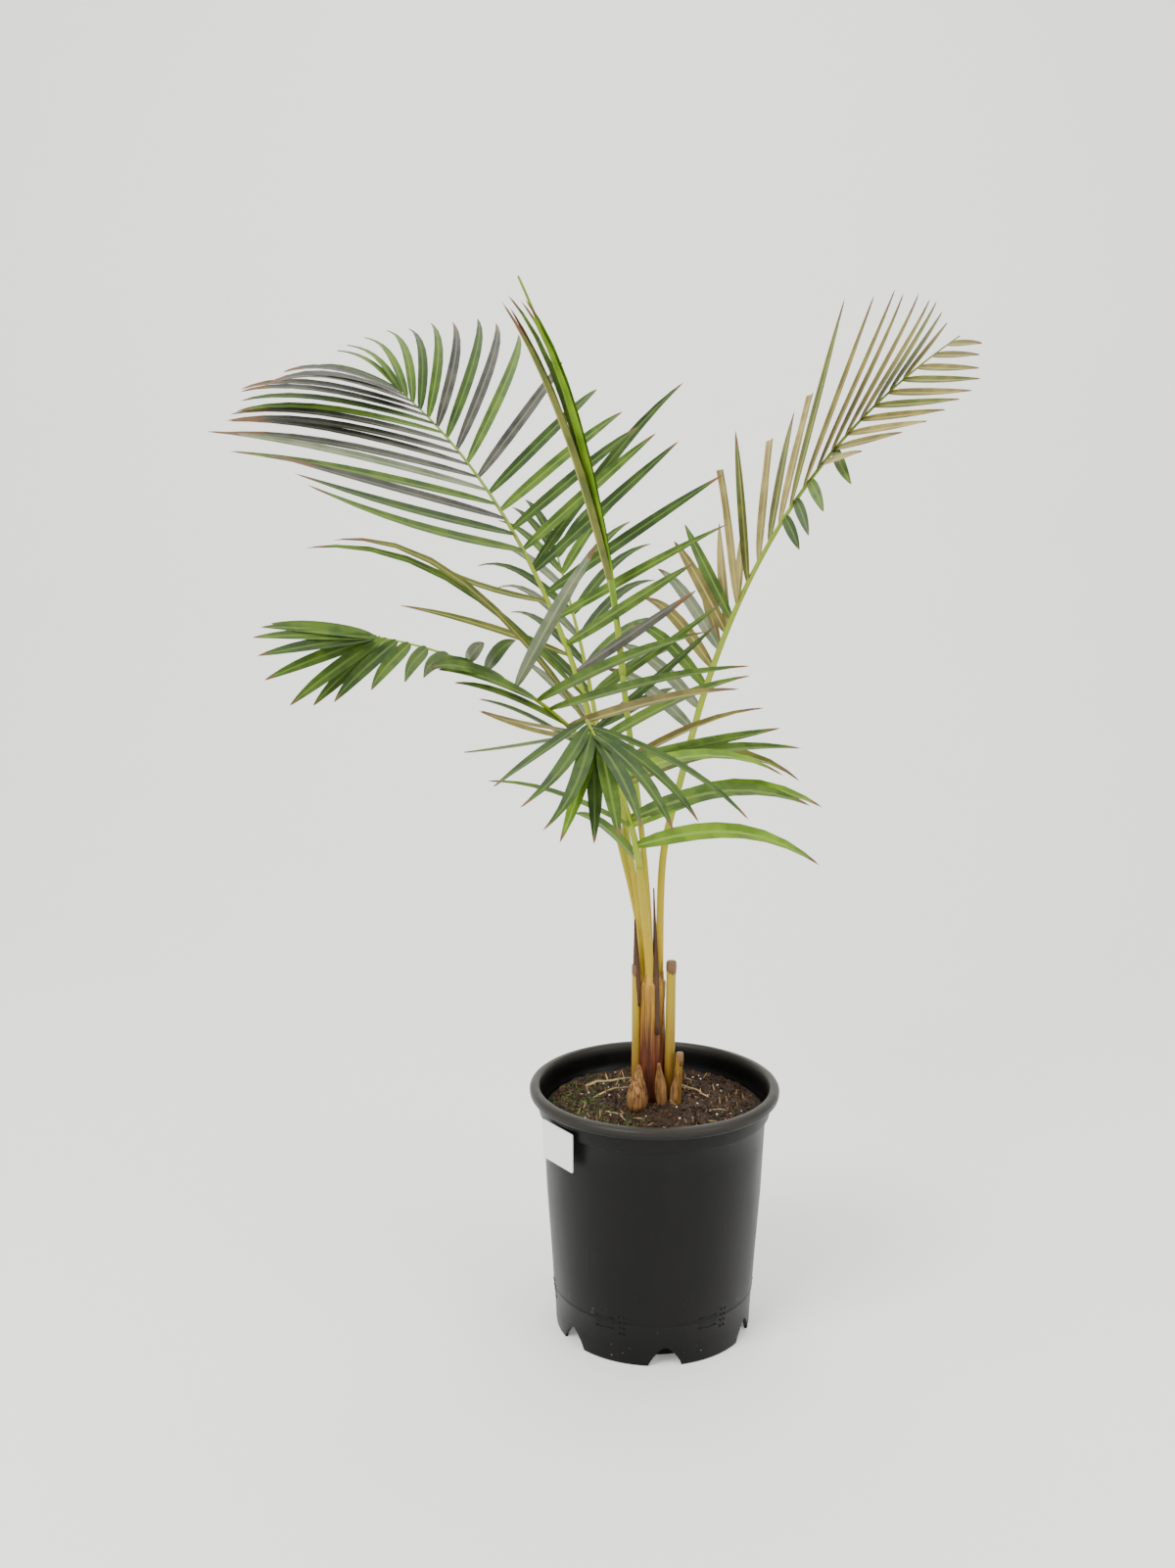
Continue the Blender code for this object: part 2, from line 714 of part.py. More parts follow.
def build_sheaths(group):
    """Dry leaf bases: a bulb at the soil, a flap beside it and two strips higher up."""
    bulb = [(-0.0140, -0.0300, 0.0), (-0.0140, -0.0298, 0.009), (-0.0132, -0.0280, 0.020),
            (-0.0122, -0.0245, 0.033), (-0.0118, -0.0225, 0.042)]
    points = [STEM + Vector(point) for point in bulb]
    limb("sheath_bulb", points, (0.0088, 0.0108, 0.0088, 0.0048, 0.0022), group, "sheath")
    strips = {
        "sheath_flap": (0.0115, (0.010, -0.0185, 0.001), (0.004, -0.0165, 0.050), 0.0018),
        "sheath_curl": (0.0060, (-0.0140, -0.0112, 0.1442), (-0.0165, -0.0125, 0.190), 0.0020),
        "sheath_dark": (0.0040, (0.0062, -0.0105, 0.1290), (0.0020, -0.0115, 0.222), 0.0014),
    }
    for name, (width, foot, tip, thickness) in strips.items():
        low, high = STEM + Vector(foot), STEM + Vector(tip)
        way = (high - low).normalized()
        normal = (Vector((0.0, -1.0, 0.0)) + way * way.y).normalized()
        across = way.cross(normal)
        path = [(low.lerp(high, share), across, normal) for share in (*BLADE_STATIONS, 1.0)]
        widths = [width * share for share in (0.8, 1.0, 0.95, 0.75, 0.45)]
        add_object(name, blade_mesh(name, path, widths, thickness), group, "sheath")


def build_rib(frond):
    """The frond's own spine as a thin round rod."""
    spine = spine_of(frond)
    shares = [0.0, RIB_FACING, *(step / (RIB_POINTS - 1) for step in range(1, RIB_POINTS))]
    thick, thin = frond["rib"]
    radii = [thick + (thin - thick) * share for share in shares]
    points = [point_on(spine, share) for share in shares]
    rod = limb("rib", points, radii, bpy.context.scene.collection, frond["colour"])
    mesh = plain_mesh(rod)
    bpy.data.objects.remove(rod, do_unlink=True)
    return mesh


def build_leaflet(name, frond, spine, row, order, chance, others):
    """A leaflet that clears the other pieces, turned up or down a little where it must be."""
    stray = [chance.uniform(-1.0, 1.0) for _ in range(3)]
    for nudge in NUDGES:
        path, reach = leaflet_path(frond, spine, row, order, stray, nudge, BLADE_STATIONS)
        widths = [row.get("width", frond["width"]) * share for share in BLADE_WIDTHS]
        mesh = blade_mesh(name, path, widths, reach * LEAST_THICKNESS)
        if not touches(mesh, others):
            return mesh
    print("no room for", name)
    return None


def build_frond(name, frond, rib, group, others, chance):
    """A frond's rib and its leaflets, fused."""
    spine = spine_of(frond)
    meshes = [rib]
    for row_name, row in frond["rows"].items():
        for index in range(row["count"]):
            order = index / max(row["count"] - 1, 1)
            label = f"{name}_{row_name}_{index}"
            leaflet = build_leaflet(label, frond, spine, row, order, chance, others)
            if leaflet:
                meshes.append(leaflet)
    whole = fuse(name, meshes, group, frond["colour"])
    print(name, "leaflets", len(meshes) - 1)
    return whole


def build_all():
    clear_scene()
    group = new_collection("kosi palm")
    cutters = new_collection("cutters")
    build_pot(group, cutters)
    build_soil(group)
    build_tag(group)
    build_stem(group)
    build_stubs(group)
    build_sheaths(group)
    for name, frond in FRONDS.items():
        build_petiole("petiole_" + name, frond, group)
    fixed = [tree_of(plain_mesh(thing)) for thing in list(group.objects)]
    ribs = {name: build_rib(frond) for name, frond in FRONDS.items()}
    chance = random.Random(SEED)
    for name, frond in FRONDS.items():
        others = fixed + [tree_of(rib) for other, rib in ribs.items() if other != name]
        whole = build_frond("frond_" + name, frond, ribs[name], group, others, chance)
        fixed.append(tree_of(whole.data))


build_all()
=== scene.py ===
# %% [markdown]
# # A young kosi palm in its nursery pot
# The solids of the plant are loaded first as a fixed frame. Every piece made here stays inside the
# box round those solids, and either takes the place of some of them or dresses them.

# %% Load the frame
import math
import random

import bmesh
import bpy
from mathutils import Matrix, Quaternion, Vector, noise
from mathutils.bvhtree import BVHTree


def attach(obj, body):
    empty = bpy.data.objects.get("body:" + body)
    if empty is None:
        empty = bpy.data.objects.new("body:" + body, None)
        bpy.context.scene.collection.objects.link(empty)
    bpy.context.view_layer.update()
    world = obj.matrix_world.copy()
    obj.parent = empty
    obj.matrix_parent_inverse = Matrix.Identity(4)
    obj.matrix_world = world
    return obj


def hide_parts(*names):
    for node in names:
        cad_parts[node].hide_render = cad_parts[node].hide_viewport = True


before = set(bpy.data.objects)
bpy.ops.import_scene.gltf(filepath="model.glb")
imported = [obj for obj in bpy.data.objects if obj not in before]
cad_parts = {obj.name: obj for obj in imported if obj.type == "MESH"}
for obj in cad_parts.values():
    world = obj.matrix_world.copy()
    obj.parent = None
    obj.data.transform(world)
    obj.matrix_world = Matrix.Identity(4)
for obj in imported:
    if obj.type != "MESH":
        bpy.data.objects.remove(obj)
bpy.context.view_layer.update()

# %% [markdown]
# ## One class for shader sums, one for finishes
# A finish is a small sum of noises and ramps. Writing it with plus and times signs keeps it readable,
# so a wire wraps a socket and turns each sign into a Math node. Colours go through Mix nodes.

# %% Wires and finishes
class Wire:
    def __init__(self, finish, socket):
        self.finish = finish
        self.socket = socket

    def sum_with(self, other, operation, swapped=False):
        pair = (other, self) if swapped else (self, other)
        return self.finish.node("ShaderNodeMath", {"operation": operation}, {0: pair[0], 1: pair[1]})

    def __add__(self, other):
        return self.sum_with(other, "ADD")

    def __sub__(self, other):
        return self.sum_with(other, "SUBTRACT")

    def __mul__(self, other):
        return self.sum_with(other, "MULTIPLY")

    def __rsub__(self, other):
        return self.sum_with(other, "SUBTRACT", True)

    __radd__ = __add__
    __rmul__ = __mul__

    def clamped(self, low, high):
        """0 at low and 1 at high, with a smooth step between."""
        settings = {"interpolation_type": "SMOOTHSTEP"}
        return self.finish.node("ShaderNodeMapRange", settings, {"Value": self, 1: low, 2: high})


class Finish:
    def __init__(self, name, roughness, specular=0.5):
        self.material = bpy.data.materials.new(name)
        self.material.use_nodes = True
        self.nodes = self.material.node_tree.nodes
        self.links = self.material.node_tree.links
        self.shader = self.nodes["Principled BSDF"]
        self.shader.inputs["Roughness"].default_value = roughness
        self.shader.inputs["Specular IOR Level"].default_value = specular

    def put(self, socket, value):
        if isinstance(value, Wire):
            self.links.new(value.socket, socket)
        elif isinstance(value, tuple) and len(value) == 3 and socket.type == "RGBA":
            socket.default_value = (*value, 1.0)
        else:
            socket.default_value = value

    def node(self, kind, settings=None, values=None, output=0):
        node = self.nodes.new(kind)
        for name, value in (settings or {}).items():
            setattr(node, name, value)
        for name, value in (values or {}).items():
            self.put(node.inputs[name], value)
        return Wire(self, node.outputs[output])

    def place(self, stretch=(1.0, 1.0, 1.0)):
        here = self.node("ShaderNodeTexCoord", output="Object")
        return self.node("ShaderNodeMapping", None, {"Vector": here, "Scale": stretch})

    def axis(self, letter):
        here = self.node("ShaderNodeTexCoord", output="Object")
        return self.node("ShaderNodeSeparateXYZ", None, {0: here}, letter)

    def along(self, letter):
        """X runs from a leaflet's root to its tip and Y across its blade."""
        here = self.node("ShaderNodeTexCoord", output="UV")
        return self.node("ShaderNodeSeparateXYZ", None, {0: here}, letter)

    def noise(self, scale, detail=3.0, stretch=(1.0, 1.0, 1.0)):
        values = {"Vector": self.place(stretch), "Scale": scale, "Detail": detail}
        return self.node("ShaderNodeTexNoise", None, values)

    def mix(self, share, first, second):
        """The colour between first and second at a share; sockets 6, 7 and 2 are a Mix node's colours."""
        values = {0: share, 6: first, 7: second}
        return self.node("ShaderNodeMix", {"data_type": "RGBA"}, values, 2)

    def wear(self, colour=None, roughness=None, height=None, depth=0.001, strength=0.5):
        if colour is not None:
            self.put(self.shader.inputs["Base Color"], colour)
        if roughness is not None:
            self.put(self.shader.inputs["Roughness"], roughness)
        if height is not None:
            values = {"Height": height, "Distance": depth, "Strength": strength}
            bump = self.node("ShaderNodeBump", None, values)
            self.links.new(bump.socket, self.shader.inputs["Normal"])
        return self.material


print("wires and finishes ready")

# %% [markdown]
# ## The leaf finishes
# A palm leaflet is glossy green with a paler keel along its middle, fine veins beside it, and an end
# that dries brown. The colour differs from frond to frond, so each tone is a finish of its own and
# the leaflets are dealt out among them. The keel and the dry end follow the blade's own directions.

# %% Leaf finishes
DRY = (0.16, 0.085, 0.038)


def leaf_finish(name, dark, light, keel, dry_from=0.90, roughness=0.42):
    finish = Finish(name, roughness, 0.22)
    blotch = finish.noise(38.0, 3.0).clamped(0.35, 0.65)
    blade = finish.mix(blotch, dark, light)
    across = finish.along("Y")
    middle = (across - 0.5) * (across - 0.5)
    on_keel = 1.0 - middle.clamped(0.002, 0.012)
    ribbed = finish.mix(on_keel * 0.75, blade, keel)
    ragged = finish.noise(90.0, 2.0)
    dry = (finish.along("X") + (ragged - 0.5) * 0.16).clamped(dry_from, dry_from + 0.07)
    veins = finish.node("ShaderNodeMath", {"operation": "SINE"}, {0: across * 75.0})
    return finish.wear(finish.mix(dry, ribbed, DRY), roughness + blotch * 0.12, veins, 0.0003, 0.35)


LEAVES = {
    "deep": leaf_finish("deep green leaf", (0.020, 0.046, 0.008), (0.048, 0.092, 0.012), (0.11, 0.17, 0.03)),
    "green": leaf_finish("green leaf", (0.040, 0.086, 0.009), (0.092, 0.165, 0.015), (0.17, 0.24, 0.04)),
    "bright": leaf_finish("bright green leaf", (0.095, 0.185, 0.009), (0.170, 0.300, 0.014),
                          (0.26, 0.38, 0.05)),
    "dusk": leaf_finish("dusky leaf", (0.034, 0.036, 0.030), (0.080, 0.078, 0.062), (0.16, 0.16, 0.10),
                        0.80),
    "grey": leaf_finish("pale underside", (0.120, 0.150, 0.085), (0.200, 0.225, 0.140),
                        (0.30, 0.33, 0.17), 0.88, 0.6),
    "olive": leaf_finish("olive leaf", (0.080, 0.095, 0.014), (0.145, 0.150, 0.026), (0.34, 0.34, 0.09),
                         0.86),
    "bronze": leaf_finish("bronze leaf", (0.125, 0.100, 0.020), (0.225, 0.185, 0.042),
                          (0.40, 0.36, 0.11), 0.84),
    "tan": leaf_finish("tan leaf", (0.230, 0.180, 0.055), (0.350, 0.285, 0.090), (0.46, 0.40, 0.15), 0.90,
                       0.6),
}
print("leaf finishes", sorted(LEAVES))

# %% [markdown]
# ## Stalks, stem, dry husks, filling, pot and card
# A leaf stalk is yellow where it leaves the stem and green higher up, so its colour follows height.
# The stem turns from straw to a dark red brown at the soil, with fine fibres that run upwards.

# %% Stalk and stem finishes
def stalk_finish(name, low, high, low_colour, high_colour, speck, roughness=0.42):
    finish = Finish(name, roughness, 0.25)
    streaks = finish.noise(60.0, 4.0, (6.0, 6.0, 0.35))
    height = finish.axis("Z") + (streaks - 0.5) * 0.05
    colour = finish.mix(height.clamped(low, high), low_colour, high_colour)
    marked = finish.mix(streaks.clamped(0.60, 0.78) * 0.55, colour, speck)
    return finish.wear(marked, roughness + streaks * 0.15, streaks, 0.0008, 0.4)


STALK = stalk_finish("leaf stalk", 0.38, 0.62, (0.46, 0.31, 0.016), (0.19, 0.27, 0.016), (0.20, 0.12, 0.02))
RIB = stalk_finish("leaf rib", 0.55, 0.95, (0.28, 0.34, 0.018), (0.15, 0.22, 0.018), (0.14, 0.12, 0.04))
STUB = stalk_finish("cut stalk", 0.25, 0.36, (0.22, 0.11, 0.015), (0.38, 0.27, 0.018), (0.10, 0.05, 0.02))
CUT = stalk_finish("dry cut end", 0.30, 0.40, (0.20, 0.11, 0.04), (0.15, 0.085, 0.035), (0.05, 0.03, 0.02))

stem = Finish("stem skin", 0.48, 0.3)
fibres = stem.noise(70.0, 5.0, (7.0, 7.0, 0.25))
stem_height = stem.axis("Z") + (fibres - 0.5) * 0.05
base_tone = stem.mix(fibres.clamped(0.35, 0.7), (0.045, 0.011, 0.006), (0.22, 0.058, 0.018))
top_tone = stem.mix(fibres.clamped(0.35, 0.7), (0.28, 0.13, 0.015), (0.50, 0.30, 0.030))
STEM_SKIN = stem.wear(stem.mix(stem_height.clamped(0.285, 0.378), base_tone, top_tone),
                      0.38 + fibres * 0.25, fibres, 0.0012, 0.6)

husk = Finish("dry husk", 0.75, 0.25)
threads = husk.noise(80.0, 5.0, (6.0, 6.0, 0.5))
HUSK = husk.wear(husk.mix(threads.clamped(0.3, 0.72), (0.075, 0.030, 0.010), (0.36, 0.18, 0.055)),
                 None, threads, 0.0010, 0.7)
dark_husk = Finish("dark husk", 0.7, 0.3)
grain = dark_husk.noise(80.0, 5.0, (6.0, 6.0, 0.5))
DARK_HUSK = dark_husk.wear(dark_husk.mix(grain, (0.030, 0.014, 0.008), (0.11, 0.055, 0.025)),
                           None, grain, 0.0010, 0.7)
print("stalk and husk finishes made")

# %% Filling, pot and card finishes
peat = Finish("moist peat", 0.85, 0.3)
crumbs = peat.noise(140.0, 6.0)
patches = peat.noise(22.0, 3.0)
mossy = peat.mix(patches.clamped(0.58, 0.70) * 0.6, peat.mix(crumbs, (0.004, 0.0025, 0.0015),
                                                           (0.050, 0.028, 0.015)), (0.025, 0.036, 0.008))
PEAT = peat.wear(mossy, 0.7 + crumbs * 0.25, crumbs, 0.003, 0.9)


def grain_finish(name, dark, light, roughness):
    finish = Finish(name, roughness, 0.3)
    spots = finish.noise(160.0, 4.0)
    return finish.wear(finish.mix(spots.clamped(0.3, 0.7), dark, light), None, spots, 0.0006, 0.6)


BARK = grain_finish("bark chip", (0.010, 0.005, 0.003), (0.095, 0.048, 0.022), 0.8)
STRAW = grain_finish("dry straw", (0.22, 0.14, 0.055), (0.46, 0.33, 0.15), 0.7)
PERLITE = grain_finish("perlite", (0.45, 0.43, 0.38), (0.75, 0.73, 0.68), 0.9)
MOSS = grain_finish("moss tuft", (0.020, 0.040, 0.008), (0.070, 0.110, 0.022), 0.9)

plastic = Finish("black plastic", 0.36, 0.16)
scuffs = plastic.noise(30.0, 5.0, (1.0, 1.0, 0.25))
dust = plastic.noise(260.0, 2.0).clamped(0.70, 0.78)
lowness = 1.0 - plastic.axis("Z").clamped(0.0, 0.09)
worn = plastic.mix(scuffs.clamped(0.35, 0.75) * 0.35, (0.0020, 0.0020, 0.0020), (0.0075, 0.0068, 0.0060))
# Painted sheen: a lighter grey band round the top of the rolled rim stands in for the light that catches it.
rim_sheen_share = plastic.axis("Z").clamped(0.2475, 0.2575) * 0.8
rim_sheen_mix = plastic.mix(rim_sheen_share, worn, (0.036, 0.033, 0.027))
PLASTIC = plastic.wear(plastic.mix(dust * lowness * 0.7, rim_sheen_mix, (0.20, 0.18, 0.15)),
                       0.26 + scuffs * 0.26, scuffs, 0.0004, 0.25)

card = Finish("blank card", 0.5, 0.4)
pulp = card.noise(400.0, 3.0)
CARD = card.wear(card.mix(pulp, (0.78, 0.78, 0.76), (0.86, 0.86, 0.84)), None, pulp, 0.0001, 0.3)
print("filling, pot and card finishes made")

# %% [markdown]
# ## Putting a piece in place
# Every piece is a closed mesh whose own origin is the pot's underside. It goes with the whole plant,
# says which finish slot it takes and which solids it stands for.

# %% Piece helpers
def mesh_of(bm, name, smooth=True):
    bmesh.ops.recalc_face_normals(bm, faces=bm.faces)
    for face in bm.faces:
        face.smooth = smooth
    mesh = bpy.data.meshes.new(name)
    bm.to_mesh(mesh)
    bm.free()
    return mesh


def add_piece(name, mesh, finish, nodes=()):
    mesh.materials.clear()
    mesh.materials.append(finish)
    piece = bpy.data.objects.new(name, mesh)
    bpy.context.scene.collection.objects.link(piece)
    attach(piece, "root")
    if nodes:
        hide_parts(*nodes)
    print("piece", name, "faces", len(mesh.polygons))
    return piece


def ring_at(bm, radius, height, steps):
    """A level ring of vertices round the pot's axis."""
    turns = [step * math.tau / steps for step in range(steps)]
    return [bm.verts.new((radius * math.cos(turn), radius * math.sin(turn), height)) for turn in turns]


def add_tube(bm, points, radii, sides=14, flat=1.0, ridges=0.0, seed=0.0):
    """A closed tube along points; ridges lets its skin rise and fall in long folds."""
    side = None
    rings = []
    for index, (point, radius) in enumerate(zip(points, radii)):
        before, after = points[max(index - 1, 0)], points[min(index + 1, len(points) - 1)]
        way = (after - before).normalized()
        if side is None:
            side = way.orthogonal().normalized()
        side = (side - way * side.dot(way)).normalized()
        up = way.cross(side)
        ring = []
        for step in range(sides):
            turn = step * math.tau / sides
            fold = 1.0 + ridges * noise.noise(Vector((math.cos(turn) * 3, math.sin(turn) * 3,
                                                      seed + point.z * 12)))
            ring.append(bm.verts.new(point + (side * math.cos(turn) + up * math.sin(turn) * flat)
                                     * radius * fold))
        rings.append(ring)
    for near, far in zip(rings, rings[1:]):
        for step in range(sides):
            other = (step + 1) % sides
            bm.faces.new((near[step], near[other], far[other], far[step]))
    bm.faces.new(list(reversed(rings[0])))
    bm.faces.new(rings[-1])


print("piece helpers ready")

# %% [markdown]
# ## The rule the fronds grow by
# This is the rule of the solids, written again: a spine that starts at its stalk's tip and turns
# steadily, and rows of leaflets on it. Headings, reaches and droops are spaced evenly along a row,
# and a smooth curve through them gives each leaflet its own.

# %% Frond sizes
GAP = 0.0003
SEED = 11
SOIL_TOP = 0.243
STEM = Vector((-0.0045, 0.0, SOIL_TOP + GAP))
STEM_TOP = 0.372
STRAY_TURN = 1.2
STRAY_REACH = 0.015
NUDGES = ((0, 0), (3, 0), (-3, 0), (0, 6), (0, -6), (6, 0), (-6, 0), (0, 12), (0, -12), (9, 12),
          (-9, -12), (9, -12), (-9, 12), (0, 20), (0, -20))

# Every frond: its spine's start, length and headings, its petiole's foot round the stem with the
# shares of the petiole that run straight at its foot and its tip, and its rows of leaflets. Climb is
# the angle above level and turn the angle from +X, both in degrees, and a list of them is spaced
# evenly from the first leaflet to the last.
FRONDS = {
    "left": {
        "start": (-0.049, 0.010, 0.566),
        "length": 0.502,
        "climb": (74, 54, 30),
        "turn": (140, 140, 140),
        "foot": (158.0, 0.0095),
        "bend": (0.35, 0.50),
        "stalk": (0.0038, 0.0036),
        "rib": (0.0036, 0.0010),
        "width": 0.0115,
        "rows": {
            "right": {
                "count": 22, "span": (0.11, 0.98), "crowd": 1.48,
                "climb": (40, 25, 41, 36, 39, 53, 44, 34),
                "turn": (-38, -51, 13, 33, 67, 70, 99, 134),
                "reach": (0.169, 0.214, 0.205, 0.200, 0.285, 0.178, 0.158, 0.120),
                "droop": (0.06, 0.9, 0.9), "pull": (0.08, 0.68, 0.9),
            },
            "tall": {
                "count": 1, "span": (0.46, 0.46), "crowd": 1.0,
                "climb": (44, 44), "turn": (49, 49),
                "reach": (0.304, 0.304),
                "droop": (0.3, 0.3), "pull": (0.0, 0.0),
            },
            "left": {
                "count": 17, "span": (0.50, 0.99), "crowd": 1.29,
                "climb": (8, 10, 15, 14, 12, 8, 15),
                "turn": (246, 238, 197, 204, 213, 245, 233),
                "reach": (0.372, 0.372, 0.255, 0.248, 0.224, 0.280, 0.128),
                "droop": (0.0, 0.0, 0.45), "pull": (0.23, -0.62, 0.01),
            },
            "low": {
                "count": 4, "span": (0.10, 0.38), "crowd": 0.80,
                "climb": (47, 37, 21, 10), "turn": (228, 232, 202, 177), "width": 0.0090,
                "reach": (0.396, 0.384, 0.182, 0.156),
                "droop": (0.9, 0.9, 0.0), "pull": (0.14, 0.42, 0.9),
            },
        },
    },
    "right": {
        "start": (0.034, 0.030, 0.602),
        "length": 0.516,
        "climb": (70, 53, 34),
        "turn": (44, 26, 7),
        "foot": (5.0, 0.0090),
        "bend": (0.65, 0.50),
        "stalk": (0.0040, 0.0036),
        "rib": (0.0036, 0.0010),
        "width": 0.0120,
        "rows": {
            "blunt": {
                "count": 5, "span": (0.29, 0.47), "crowd": 1.09,
                "climb": (83, 68, 42, 49), "turn": (155, 87, 79, 70),
                "reach": (0.162, 0.165, 0.208, 0.216),
                "droop": (0.17, 0.09, 0.13), "pull": (-0.19, 0.06, 0.02),
            },
            "top": {
                "count": 9, "span": (0.51, 0.86), "crowd": 1.07,
                "climb": (72, 67, 60, 48, 32), "turn": (30, -19, 7, 36, 51),
                "reach": (0.217, 0.189, 0.157, 0.143, 0.120),
                "droop": (0.0, 0.0, 0.0), "pull": (-0.04, -0.52, -0.33),
            },
            "inner": {
                "count": 3, "span": (0.20, 0.29), "crowd": 0.93,
                "climb": (33, 39, 39), "turn": (98, 91, 82),
                "reach": (0.144, 0.154, 0.120),
                "droop": (0.04, 0.06, 0.1), "pull": (0.16, 0.13, -0.11),
            },
            "right": {
                "count": 10, "span": (0.62, 0.97), "crowd": 1.02,
                "climb": (4, 4, -2, -4, -5), "turn": (276, 299, 298, 292, 283),
                "reach": (0.144, 0.120, 0.128, 0.112, 0.072),
                "droop": (0.08, 0.0, 0.02), "pull": (0.15, 0.14, 0.16),
            },
            "hanging": {
                "count": 4, "span": (0.49, 0.66), "crowd": 0.68,
                "climb": (-25, -15, -20), "turn": (279, 271, 271),
                "reach": (0.064, 0.096, 0.096),
                "droop": (0.26, 0.12, 0.19), "pull": (-0.01, -0.1, 0.16),
            },
            "far": {
                "count": 7, "span": (0.03, 0.26), "crowd": 1.16, "width": 0.0135,
                "climb": (26, 32, 36), "turn": (124, 115, 108),
                "reach": (0.156, 0.159, 0.166),
                "droop": (0.44, 0.33, 0.22), "pull": (-0.04, -0.2, 0.14),
            },
        },
    },
    "low": {
        "start": (-0.038, -0.032, 0.5595),
        "length": 0.338,
        "climb": (42, 35, 10),
        "turn": (256, 219, 183),
        "foot": (207.0, 0.0098),
        "bend": (0.40, 0.15),
        "stalk": (0.0028, 0.0030),
        "rib": (0.0030, 0.0010),
        "width": 0.0120,
        "rows": {
            "right": {
                "count": 5, "span": (0.14, 0.52), "crowd": 1.50,
                "climb": (30, 20, 17, 22), "turn": (361, 306, 313, 305),
                "reach": (0.162, 0.230, 0.258, 0.240),
                "droop": (0.39, 0.24, 0.09), "pull": (-0.06, 0.11, -0.13),
            },
            "crest": {
                "count": 3, "span": (0.60, 0.75), "crowd": 1.50,
                "climb": (40, 24, 25), "turn": (294, 286, 285),
                "reach": (0.211, 0.120, 0.072),
                "droop": (0.17, 0.31, 0.21), "pull": (0.0, -0.04, -0.07),
            },
            "left": {
                "count": 16, "span": (0.22, 1.0), "crowd": 3.43,
                "climb": (32, 14, -5, -29, 1, 13), "turn": (219, 249, 262, 226, 239, 230),
                "roll": -40.0,
                "reach": (0.149, 0.168, 0.112, 0.096, 0.149, 0.112),
                "droop": (0.27, 0.0, 0.13), "pull": (-0.12, -0.24, 0.18),
            },
            "dry": {
                "count": 2, "span": (0.31, 0.36), "crowd": 1.30,
                "climb": (-1, 10), "turn": (138, 218),
                "reach": (0.120, 0.108),
                "droop": (0.0, 0.0), "pull": (0.9, 0.8),
            },
        },
    },
    "front": {
        "start": (-0.018, -0.044, 0.494),
        "length": 0.323,
        "climb": (81, 36, -22),
        "turn": (220, 253, 287),
        "foot": (262.0, 0.0085),
        "bend": (0.20, 0.30),
        "stalk": (0.0052, 0.0036),
        "rib": (0.0036, 0.0012),
        "width": 0.0140,
        "rows": {
            "low": {
                "count": 3, "span": (0.07, 0.16), "crowd": 2.08,
                "climb": (20, 28, 23), "turn": (312, 311, 310), "width": 0.0165,
                "reach": (0.228, 0.240, 0.240),
                "droop": (0.54, 0.49, 0.44), "pull": (-0.25, -0.35, -0.2),
            },
            "right": {
                "count": 4, "span": (0.28, 0.37), "crowd": 1.32,
                "climb": (29, 21, 17, 16), "turn": (331, 306, 317, 314),
                "reach": (0.190, 0.228, 0.223, 0.216),
                "droop": (0.87, 0.37, 0.14), "pull": (-0.36, -0.06, 0.15),
            },
            "tip": {
                "count": 5, "span": (0.86, 1.0), "crowd": 1.0,
                "climb": (-18, -14, -7, -22), "turn": (337, 305, 285, 276),
                "reach": (0.159, 0.136, 0.168, 0.132),
                "droop": (0.55, 0.6, 0.0), "pull": (0.14, -0.5, -0.02),
            },
            "left": {
                "count": 6, "span": (0.56, 0.91), "crowd": 3.50,
                "climb": (-1, -12, -14, -23, -32), "turn": (229, 246, 263, 262, 271),
                "reach": (0.168, 0.151, 0.156, 0.137, 0.120),
                "droop": (0.0, 0.0, 0.32), "pull": (0.23, -0.9, -0.35),
            },
            "thin": {
                "count": 2, "span": (0.02, 0.13), "crowd": 1.30,
                "climb": (34, 29), "turn": (138, 217),
                "reach": (0.096, 0.180),
                "droop": (0.51, 0.34), "pull": (-0.18, -0.04),
            },
        },
    },
    "back": {
        "start": (-0.054, 0.045, 0.589),
        "length": 0.318,
        "climb": (67, 40, 19),
        "turn": (110, 104, 97),
        "foot": (95.0, 0.0088),
        "bend": (0.35, 0.30),
        "stalk": (0.0036, 0.0028),
        "rib": (0.0028, 0.0010),
        "width": 0.0115,
        "rows": {
            "right": {
                "count": 9, "span": (0.09, 0.97), "crowd": 1.0,
                "climb": (13, 20, 41, 54), "turn": (54, 69, 55, 43),
                "reach": (0.156, 0.200, 0.117, 0.072),
                "droop": (0.45, 0.02, 0.56), "pull": (0.29, -0.63, 0.2),
            },
            "left": {
                "count": 9, "span": (0.09, 0.97), "crowd": 1.0,
                "climb": (25, 21, 37, 53), "turn": (127, 117, 143, 137),
                "reach": (0.144, 0.200, 0.117, 0.072),
                "droop": (0.23, 0.32, 0.61), "pull": (0.07, -0.48, 0.25),
            },
        },
    },
    "spear": {
        "start": (-0.034, -0.008, 0.677),
        "length": 0.383,
        "climb": (84, 75, 65),
        "turn": (205, 194, 183),
        "foot": (0.0, 0.0),
        "bend": (0.35, 0.20),
        "stalk": (0.0030, 0.0032),
        "rib": (0.0034, 0.0016),
        "width": 0.0120,
        "rows": {
            "right": {
                "count": 3, "span": (0.12, 0.27), "crowd": 1.0,
                "climb": (78, 77, 75), "turn": (211, 207, 203),
                "reach": (0.318, 0.292, 0.266),
                "droop": (0.71, 0.65), "pull": (-0.05, -0.06),
            },
            "left": {
                "count": 2, "span": (0.17, 0.25), "crowd": 1.0,
                "climb": (72, 72), "turn": (204, 205),
                "reach": (0.298, 0.272),
                "droop": (0.55, 0.54), "pull": (0.02, 0.02),
            },
        },
    },
}
print("fronds", sorted(FRONDS))

# %% The rule
STRIDE = 0.05


